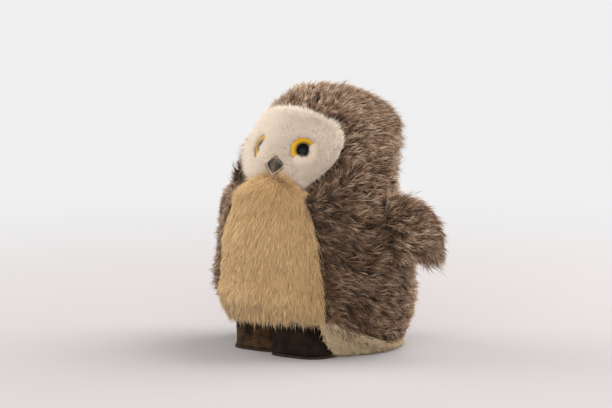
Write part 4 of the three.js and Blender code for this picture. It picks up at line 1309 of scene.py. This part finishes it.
class PLUSHOWL_OT_eyes(bpy.types.Operator):
    """Makes the safety eyes, and dresses their washers"""

    bl_idname = "plush_owl.eyes"
    bl_label = "Eyes"

    def execute(self, context):
        yellow = plastic_material("eye_yellow", tuple(context.scene.plush_owl_look.eye_colour), 0.35, 0.2)
        # Painted shade round the pupil: the yellow darkens to a fifth towards the pupil's seat
        middle = eye_frame(1) @ Vector((0, 1.8, 0))
        painted_light_over(yellow, 4.3 * MM, 5.7 * MM, 0.2, 1.0, middle * MM)
        black = plastic_material("eye_black", (0.003, 0.003, 0.004), 0.14, 0.07)
        white = plastic_material("washer_plastic", (0.72, 0.71, 0.66), 0.45)
        for word, side in SIDES:
            place = eye_frame(side)
            piece = turned(f"iris_{word}", iris_profile(), place, "eye_yellow", yellow)
            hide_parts(f"eye_iris_{word}")
            piece = turned(f"pupil_{word}", pupil_profile(), place, "eye_black", black)
            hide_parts(f"eye_pupil_{word}")
            dress(f"eye_washer_{word}", white)
        return {"FINISHED"}


BEAK = {
    "height": 113.98, "width": 12.0, "length": 11.4, "shoulder": 0.06, "fold": 14.0, "fold_radius": 0.35,
    "bow": 0.25, "stand_off": 0.9, "tilt": 18.0, "thickness": 1.1, "lining": 0.8,
}
BEAK_POINTS = 17


def kite_place():
    """The beak's own frame, standing off the face and leaning forward at its tip."""
    face = head_point(0.0, BEAK["height"])
    place = Matrix.Translation((0, float(face[1]) - BEAK["stand_off"], BEAK["height"]))
    return place @ Matrix.Rotation(math.radians(-BEAK["tilt"]), 4, "X")


def kite(half, length, behind):
    """A kite's grid of points, u across, v up: widest at the shoulder, and folded along its middle line."""
    v = np.linspace(-1, 1, BEAK_POINTS)[:, None]
    u = np.linspace(-1, 1, BEAK_POINTS)[None]
    width = np.where(v > BEAK["shoulder"], (1 - v) / (1 - BEAK["shoulder"]), (1 + v) / (1 + BEAK["shoulder"]))
    x = u * (half * (1 - (1 - np.clip(width, 0, 1)) ** 1.25) + 0.02)
    folded = np.sqrt((x * math.tan(math.radians(BEAK["fold"]))) ** 2 + BEAK["fold_radius"] ** 2)
    y = behind + folded - BEAK["fold_radius"] + BEAK["bow"] * v * v
    return placed(kite_place(), np.stack([x, y, v * length / 2 + 0 * u], axis=-1))


def fray_strands(count, rng):
    """Short threads along the beak's two lower edges: their points, headings and the way across them."""
    side = np.where(rng.random(count) < 0.5, -1.0, 1.0)
    run = rng.uniform(0.02, 1.0, count)
    half, tall = BEAK["width"] / 2, BEAK["length"] / 2
    start = np.stack([side * half * run, BEAK["bow"] + 0.2 * rng.random(count) + 0.23 * half * run,
                      -tall - 0.15 + (BEAK["shoulder"] + 1) * tall * run], axis=1)
    along_edge = np.stack([side * tall, rng.normal(-0.5, 1.5, count), np.full(count, -half)], axis=1)
    heading = unit(along_edge + rng.normal(0, 2.0, (count, 3)) * (1, 0.3, 1))
    steps = np.linspace(-0.3, 1, 3)[None, :, None] * (1.25 * rng.uniform(0.6, 1.3, (count, 1, 1)))
    points = placed(kite_place(), start[:, None] + heading[:, None] * steps)
    turned_heading = heading @ np.array(kite_place())[:3, :3].T
    return points, unit(np.cross(turned_heading, (0.3, 1.0, 0.2)))


class PLUSHOWL_OT_beak(bpy.types.Operator):
    """Makes the folded beak with its frayed edge, and its lining"""

    bl_idname = "plush_owl.beak"
    bl_label = "Beak"

    def execute(self, context):
        felt = cloth_material("beak_felt", (0.016, 0.0105, 0.008), (0.125, 0.09, 0.07), 360, bump=0.6,
                              sheen=0.1)
        # Painted highlight along the fold and painted shade to the sides: the felt is brighter at its middle
        # line and darker outwards
        painted_light_over(felt, 0.2 * MM, 3.6 * MM, 1.5, 0.4)
        edge = cloth_material("beak_edge", (0.3, 0.21, 0.12), (0.5, 0.38, 0.24), 900)
        lining = cloth_material("beak_lining", (0.018, 0.01, 0.006), (0.06, 0.035, 0.02), 800, sheen=0.1)

        outside = kite(BEAK["width"] / 2, BEAK["length"], 0.0)
        piece = shell("beak_fold", outside, BEAK["thickness"], "beak_felt", felt)
        piece.data.materials.append(edge)
        walls = 4 * (BEAK_POINTS - 1)
        index = np.zeros(len(piece.data.polygons), dtype=np.int32)
        index[-walls:] = 1
        piece.data.polygons.foreach_set("material_index", index)
        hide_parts("beak_felt")
        inside = kite(BEAK["width"] / 2 - 0.3, BEAK["length"] - 0.2, 1.3) - np.array((0, 0.25, 1.15))
        piece = shell("beak_inside", inside, BEAK["lining"], "beak_lining", lining)
        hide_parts("beak_lining")

        rng = np.random.default_rng(120)
        points, beside = fray_strands(150, rng)
        radii = np.full((len(points), 3), 0.2) * (1, 0.9, 0.4)
        fray = fur_material("beak_fray", [(0, (0.3, 0.2, 0.11)), (1, (0.5, 0.36, 0.22))],
                            [(0, (0.4, 0.28, 0.16)), (1, (0.7, 0.54, 0.36))],
                            [(0, (0.5, 0.36, 0.22)), (1, (0.82, 0.68, 0.5))])
        strand_mesh("beak_fray", points, radii, beside, rng.random(len(points)), "beak_lining", fray)
        return {"FINISHED"}


WING = {
    "length": 35.0, "low": 57.5, "high": 94.0, "angle": 84.0, "sweep": 60.0, "thickness": 17.0, "root": 5.0,
    "clearance": 0.8, "droop": 12.0,
}
# Length from the seam, then half height by the seam's length and thickness from the root's to the full one
WING_ROWS = (
    (0.0, 0.44, 0.0), (0.08, 0.465, 0.27), (0.2, 0.49, 0.6), (0.36, 0.5, 0.89), (0.54, 0.48, 1.0),
    (0.7, 0.46, 0.9), (0.84, 0.43, 0.66), (0.94, 0.365, 0.32), (0.985, 0.25, -0.1), (1.0, 0.02, -0.4),
)


def wing_frame():
    """The left wing's own frame on its seam: X to the tip, Y towards the body, Z up the seam."""
    angle = math.radians(WING["angle"])
    ends = []
    for height in (WING["low"], WING["high"]):
        at = body_point(angle, height)
        away = at - (0, 0, height)
        ends.append(at + away / np.linalg.norm(away) * (WING["root"] / 2 + WING["clearance"]))
    low, high = ends
    up = unit(high - low)
    sweep = math.radians(WING["sweep"])
    inner = unit(np.cross(up, (math.cos(sweep), math.sin(sweep), 0)))
    return np.stack([np.cross(inner, up), inner, up], axis=1), (low + high) / 2


def wing_point(share, turn, depth=0.0):
    """The left wing's surface at a share of its length and a turn round it, drawn in by a depth."""
    share, turn = np.broadcast_arrays(np.asarray(share, float), np.asarray(turn, float))
    rows = smooth_row(WING_ROWS, share)
    seam = WING["high"] - WING["low"]
    root = WING["root"] / 2
    thick = np.maximum(root + rows[..., 2] * (WING["thickness"] / 2 - root) - depth, 0.25)
    tall = np.maximum(rows[..., 1] * seam - depth, 0.25)
    along = depth + (WING["length"] - 2 * depth) * share
    local = np.stack([along, thick * np.cos(turn), tall * np.sin(turn) - WING["droop"] * share**2], axis=-1)
    axes, origin = wing_frame()
    return local @ axes.T + origin


def sample_wing(count, rng):
    """Points spread evenly over the left wing, their outward normals, and each one's share and turn."""
    share = rng.uniform(0.0, 0.995, count * 8)
    turn = rng.uniform(0, 2 * np.pi, count * 8)
    at, crossed = spans(wing_point, share, turn)
    area = np.linalg.norm(crossed, axis=1) / STEP**2
    taken = rng.random(len(area)) * area.max() * 0.5 < area
    at, normals, share, turn = (values[taken][:count] for values in (at, crossed, share, turn))
    axes, origin = wing_frame()
    from_middle = at - (origin + axes[:, 0] * 15)
    normals = unit(normals)
    normals *= np.sign((from_middle * normals).sum(axis=1, keepdims=True))
    return at, normals, share, turn


def grow_wing(number, word, side, kind, pile, tone):
    """One wing's pile, out to its tip and down: longer along the lower edge and shorter at the tip."""
    rng = np.random.default_rng(90 + number)
    at, normals, share, turn = sample_wing(int(4200 * pile.density / pile.per_tuft), rng)
    axes, origin = wing_frame()
    tip = near((1 - share) * WING["length"], 15)
    root = near(share * WING["length"], 9)
    low = near(1 + np.sin(turn), 0.5)
    hang = low * band(share, 0.62, 0.25)
    corner = low * near(1 - share, 0.2)
    high = near(1 - np.sin(turn), 0.6) * band(share, 0.82, 0.4)
    outward = axes[:, 0] + 0.25 * (at - (origin + axes[:, 0] * 15)) / 20
    down = DOWN * (0.2 + tip + 0.8 * hang)[:, None]
    flows = flat_on(outward * (1 - 0.6 * tip[:, None]) + down, normals)
    mirror = np.array((side, 1, 1))
    size = (1 - 0.25 * tip + 0.2 * root + 0.7 * hang - 0.5 * corner - 0.3 * high) * (0.6 if side < 0 else 1)
    grow(f"wing_{kind}_{word}", at * mirror, normals * mirror, flows * mirror, pile, 95 + number,
         lambda p: np.full(len(p), True), tone, "brown_fur", brown_fur(), stand=26 * root - 8 * (side < 0),
         size=size, body=f"wing_{word}")


class PLUSHOWL_OT_wings(bpy.types.Operator):
    """Makes the wings' skins, their filling and their pile"""

    bl_idname = "plush_owl.wings"
    bl_label = "Wings"

    def execute(self, context):
        shares = 0.02 + 0.98 * np.sin(np.linspace(0, 0.985, 26) * math.pi / 2)
        for word, side in SIDES:
            mirror = np.array((side, 1, 1))
            for kind, start in (("inner", -0.5), ("outer", 0.5)):
                turns = (start + np.linspace(0, 1, 30)) * math.pi
                grid = (wing_point(shares[:, None], turns[None], 2.0) * mirror)[:, ::side]
                piece = shell(f"wing_{kind}_cloth_{word}", grid, 1.0, "brown_fur", brown_cloth(),
                              f"wing_{word}")
                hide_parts(f"wing_{kind}_skin_{word}")
            turns = np.linspace(0, 2 * np.pi, 40, endpoint=False)
            rings = (wing_point(np.linspace(0.05, 0.99, 16)[:, None], turns[None], 3.6) * mirror)[:, ::-side]
            piece = ring_body(f"wing_fibre_{word}", rings, "fibre", bpy.data.materials["fibre"],
                              f"wing_{word}")
            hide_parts(f"wing_filling_{word}")
        for kind, pile, tone in brown_piles(context.scene.plush_owl_fur.brown_length * 0.95, 1.15):
            pile.depth = 2.4
            for number, (word, side) in enumerate(SIDES):
                grow_wing(number, word, side, kind, pile, tone)
        return {"FINISHED"}


def face_pile_material(face_colour):
    """The face's pile: its colour, darker and browner at the roots and on some hairs."""
    def tint(*shares):
        return tuple(min(part * share, 1) for part, share in zip(face_colour, shares))

    return fur_material(
        "face_pile", [(0, tint(0.66, 0.6, 0.5)), (1, tint(0.92, 0.9, 0.86))],
        [(0, tint(0.74, 0.69, 0.6)), (1, tint(1, 1, 1))],
        [(0, tint(0.78, 0.74, 0.67)), (1, tint(1.08, 1.09, 1.1))], roughness=0.8, sheen=0.3)


def on_face(at):
    """Whether points lie on the face panel, clear of the eyes' discs and the beak."""
    ok = (np.abs(at[:, 0]) < face_half_width(at[:, 2]) - 0.4) & (at[:, 1] < 0)
    for _, side in SIDES:
        local = placed(eye_frame(side).inverted(), at)
        ok &= np.hypot(local[:, 0], local[:, 2]) > EYE["diameter"] / 2 - 0.1
    local = placed(kite_place().inverted(), at)
    lean = local[:, 2] / (BEAK["length"] / 2)
    return ok & (np.abs(local[:, 0]) / (BEAK["width"] / 2) + np.abs(lean) > np.where(lean < 0.1, 1.4, 1.03))


def grow_face(pile, cream):
    """The face's short pile, every way at random but turned from the eyes, the beak and the face's middle."""
    rng = np.random.default_rng(100)
    at, normals = sown(sample_head, [(3300, on_face)], pile, rng)
    outwards = unit(at - (0, -30, FACE_CENTRE_HEIGHT)) * near(-face_distance(at), 5)[:, None]
    flows = rng.normal(size=at.shape) * 0.4 + np.array((-0.2, 0, 0.15)) + 1.5 * outwards
    eyes = [(eye_frame(side), EYE["diameter"] / 2) for _, side in SIDES]
    for place, reach in eyes + [(kite_place(), BEAK["width"] / 2)]:
        away = at - np.array(place.translation)
        flows += 4 * unit(away) * near(np.linalg.norm(away, axis=1) - reach, 4)[:, None]
    beak_at = np.array(kite_place().translation)

    def painted_shade_round_beak(surface):
        """Painted shade: the pile is a little darker round the beak."""
        return -0.35 * near(np.linalg.norm(surface - beak_at, axis=1) - 3, 17)

    outline = near(-face_distance(at), 4)
    grow("face_hair", at, normals, flat_on(flows, normals), pile, 101, on_face,
         mottled(0.8, 0.08, 0.26, 0.08, painted_shade_round_beak), "cream_pile", cream,
         stand=14 * outline, size=1 + 0.45 * outline)


def grow_lid(number, word, side, pile, cream):
    """The pile that lies over part of an eye: rooted round its rim, long enough to reach the lid's edge.

    The nap is the way from the eye's middle to the lid. The near eye's lid leaves the pupil free.
    """
    rng = np.random.default_rng(110 + number)
    nap, count = np.array(LID_NAPS[side]), 340
    turn = math.atan2(nap[2], nap[0]) + rng.uniform(-1.35, 1.35, count)
    radius = EYE["diameter"] / 2 + rng.uniform(0.1, 1.8, count)
    local = np.stack([radius * np.cos(turn), np.zeros(count), radius * np.sin(turn)], axis=1)
    at, normals = head_surface(directions_of(placed(eye_frame(side), local)))
    beside = local @ np.array((nap[2], 0.0, -nap[0]))
    pupil = 0.3 + np.sqrt(np.maximum((EYE["pupil"] / 2 + 0.5) ** 2 - (beside - 0.6) ** 2, 0))
    edge = np.maximum(0.5 + 0.08 * beside, pupil) if side > 0 else 2.1
    axes = np.array(eye_frame(side))[:3, :3]
    flows = flat_on(np.tile(-nap @ axes.T, (count, 1)), normals)
    grow(f"face_lid_{word}", at, normals, flows, pile, 112 + number, on_face, mottled(0.8, 0.03, 0.15, 0.08),
         "cream_pile", cream, size=np.maximum(local @ nap - edge, 0.3) * 1.06 + 0.45)


class PLUSHOWL_OT_face_pile(bpy.types.Operator):
    """Grows the short cream pile of the face round the eyes"""

    bl_idname = "plush_owl.face_pile"
    bl_label = "Face pile"

    def execute(self, context):
        fur = context.scene.plush_owl_fur
        cream = face_pile_material(context.scene.plush_owl_look.face_colour)
        pile = Pile(fur.face_length, fur.face_density, tuft=3.0, per_tuft=8, depth=1.5, rise=6, lie=48,
                    turn=40, stray=75, gather=0.0, radius=0.14, steps=2, droop=0.0, uneven=0.2, swirl=0.4)
        lid = Pile(1.0, 1.0, tuft=0.7, per_tuft=6, depth=1.2, rise=44, lie=99, turn=5, stray=7, gather=0.0,
                   radius=0.15, steps=4, droop=0.0, uneven=0.05, swirl=0.0)
        grow_face(pile, cream)
        for number, (word, side) in enumerate(SIDES):
            grow_lid(number, word, side, lid, cream)
        return {"FINISHED"}


FOOT = {
    "length": 39.0, "width": 36.0, "height": 17.5, "inset": 1.0, "front": 50.0, "step": {1: 0.0, -1: 8.0},
    "taper": {1: 0.24, -1: 0.05}, "rounding": 4.0,
}
# Across and ahead, by the foot's width and length
SOLE_OUTLINE = (
    (0.03, 0.06), (0.0, 0.5), (0.02, 0.93), (0.2, 0.995), (0.5, 1.0), (0.76, 0.97), (0.91, 0.87),
    (0.99, 0.62), (0.97, 0.3), (0.88, 0.05), (0.7, 0.0), (0.2, 0.0),
)
# Height, and how far the ring is drawn in
SOLE_LEVELS = ((0.0, 0.3), (0.15, -0.5), (0.7, -0.7), (1.25, -0.55), (1.4, 0.0))
COVER_LEVELS = ((1.7, 0.15), (2.2, -0.1), (4, 0.1), (7, 0.0), (10, 0.1), (12.5, 0.0))
COVER_INSIDE_LEVELS = ((17.6, 9.0), (17.2, 9.0), (16.0, 4.5), (13, 1.8), (4, 1.8), (1.9, 1.8))
FOOT_FIBRE_LEVELS = ((3.6, 2.2), (8, 2.2), (13, 2.3), (15.4, 5))


def closed_curve(corners, per_span):
    """A smooth closed line through corners, with spans timed by the root of their length."""
    corners = np.asarray(corners, float)
    total = len(corners)
    points = []
    for i in range(total):
        p0, p1, p2, p3 = (corners[(i + k) % total] for k in (-1, 0, 1, 2))
        d0, d1, d2 = (math.sqrt(max(np.linalg.norm(b - a), 1e-6)) for a, b in ((p0, p1), (p1, p2), (p2, p3)))
        t1 = ((p1 - p0) / d0 - (p2 - p0) / (d0 + d1) + (p2 - p1) / d1) * d1
        t2 = ((p2 - p1) / d1 - (p3 - p1) / (d1 + d2) + (p3 - p2) / d2) * d1
        for t in np.linspace(0, 1, per_span, endpoint=False):
            points.append(hermite(t, p1, t1, p2, t2))
    return np.asarray(points)


def foot_rings(side, levels):
    """Rings of a foot at (height, drawn in by): its outline narrows upwards on the outer side."""
    outline = closed_curve([(x * FOOT["width"], -y * FOOT["length"]) for x, y in SOLE_OUTLINE], 14)
    middle = np.array((FOOT["width"] / 2, -FOOT["length"] / 2))
    away = outline - middle
    rings = []
    for height, shrink in levels:
        drawn = middle + away * (1 - shrink / np.linalg.norm(away, axis=1, keepdims=True))
        slope = 1 - FOOT["taper"][side] * height / FOOT["height"]
        rings.append(np.column_stack([drawn[:, 0] * slope, drawn[:, 1], np.full(len(drawn), height)]))
    rings = np.stack(rings) + (FOOT["inset"], FOOT["length"] - FOOT["front"] + FOOT["step"][side], 0)
    return (rings * (side, 1, 1))[:, ::side]


def cover_rings(side):
    """Rings of a foot's cover: up its slightly wavy wall, over a rounded edge and back down inside."""
    rounding = [(13.5 + FOOT["rounding"] * math.sin(t), FOOT["rounding"] * (1 - math.cos(t)))
                for t in np.linspace(0, 1, 9) * math.pi / 2]
    cover = foot_rings(side, (*COVER_LEVELS, *rounding, *COVER_INSIDE_LEVELS))
    wave = drift(cover.reshape(-1, 3), 14, 21).reshape(cover.shape[:2])
    lift = np.clip((cover[..., 2] - 2) / 5, 0, 1) * wave * 0.45
    middle = cover.mean(axis=1, keepdims=True)
    return cover + unit((cover - middle) * (1, 1, 0)) * lift[..., None]


class PLUSHOWL_OT_feet(bpy.types.Operator):
    """Makes the feet: soles with a cut edge, suede covers and filling, and dresses the card stiffeners"""

    bl_idname = "plush_owl.feet"
    bl_label = "Feet"

    def execute(self, context):
        colour = tuple(context.scene.plush_owl_look.suede_colour)
        suedes = {}
        # The left foot's suede is a darker copy of the right one's: painted shade
        for word, shade in SUEDE_PAINTED_SHADES:
            dark, light = (tuple(c * shade * share for c in colour) for share in (0.1, 2.2))
            suedes[word] = cloth_material(f"suede_{word}", dark, light, 150, bump=0.8, sheen=0.0,
                                          spread=(0.4, 0.62))
        cut = cloth_material("suede_edge", (0.016, 0.009, 0.005), (0.045, 0.026, 0.015), 500, sheen=0.0)
        card = cloth_material("card", (0.3, 0.22, 0.14), (0.42, 0.33, 0.22), 300)
        for word, side in SIDES:
            piece = ring_body(f"foot_sole_edge_{word}", foot_rings(side, SOLE_LEVELS), "sole_suede", cut)
            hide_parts(f"foot_sole_{word}")
            piece = ring_body(f"foot_cover_{word}", cover_rings(side), "suede", suedes[word])
            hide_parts(f"foot_upper_{word}")
            fibre = ring_body(f"foot_fibre_{word}", foot_rings(side, FOOT_FIBRE_LEVELS), "fibre",
                              bpy.data.materials["fibre"])
            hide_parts(f"foot_filling_{word}")
            dress(f"foot_insert_{word}", card)
        return {"FINISHED"}


class PLUSHOWL_PT_panel(bpy.types.Panel):
    """The owl's settings and buttons"""

    bl_label = "Plush owl"
    bl_idname = "PLUSHOWL_PT_panel"
    bl_space_type = "VIEW_3D"
    bl_region_type = "UI"
    bl_category = "Plush owl"

    def draw(self, context):
        for group in ("plush_owl_fur", "plush_owl_look", "plush_owl_stage"):
            settings = getattr(context.scene, group)
            box = self.layout.box()
            for name in settings.__annotations__:
                box.prop(settings, name)
        for operator in OPERATORS:
            self.layout.operator(operator.bl_idname)


SETTINGS = (
    ("plush_owl_fur", PlushOwlFurSettings),
    ("plush_owl_look", PlushOwlLookSettings),
    ("plush_owl_stage", PlushOwlStageSettings),
)
OPERATORS = (
    PLUSHOWL_OT_stage, PLUSHOWL_OT_body_panels, PLUSHOWL_OT_head_panels, PLUSHOWL_OT_brown_fur,
    PLUSHOWL_OT_bib_fur, PLUSHOWL_OT_face_pile, PLUSHOWL_OT_eyes, PLUSHOWL_OT_beak, PLUSHOWL_OT_wings,
    PLUSHOWL_OT_feet,
)


def register():
    """Adds the settings, the operators and the panel."""
    for name, group in SETTINGS:
        bpy.utils.register_class(group)
        setattr(bpy.types.Scene, name, PointerProperty(type=group))
    for operator in OPERATORS:
        bpy.utils.register_class(operator)
    bpy.utils.register_class(PLUSHOWL_PT_panel)


def unregister():
    """Takes them away again."""
    bpy.utils.unregister_class(PLUSHOWL_PT_panel)
    for operator in reversed(OPERATORS):
        bpy.utils.unregister_class(operator)
    for name, group in reversed(SETTINGS):
        delattr(bpy.types.Scene, name)
        bpy.utils.unregister_class(group)


def main():
    """Builds the owl piece by piece."""
    register()
    for operator in OPERATORS:
        space, name = operator.bl_idname.split(".")
        getattr(getattr(bpy.ops, space), name)()


if __name__ == "__main__":
    main()
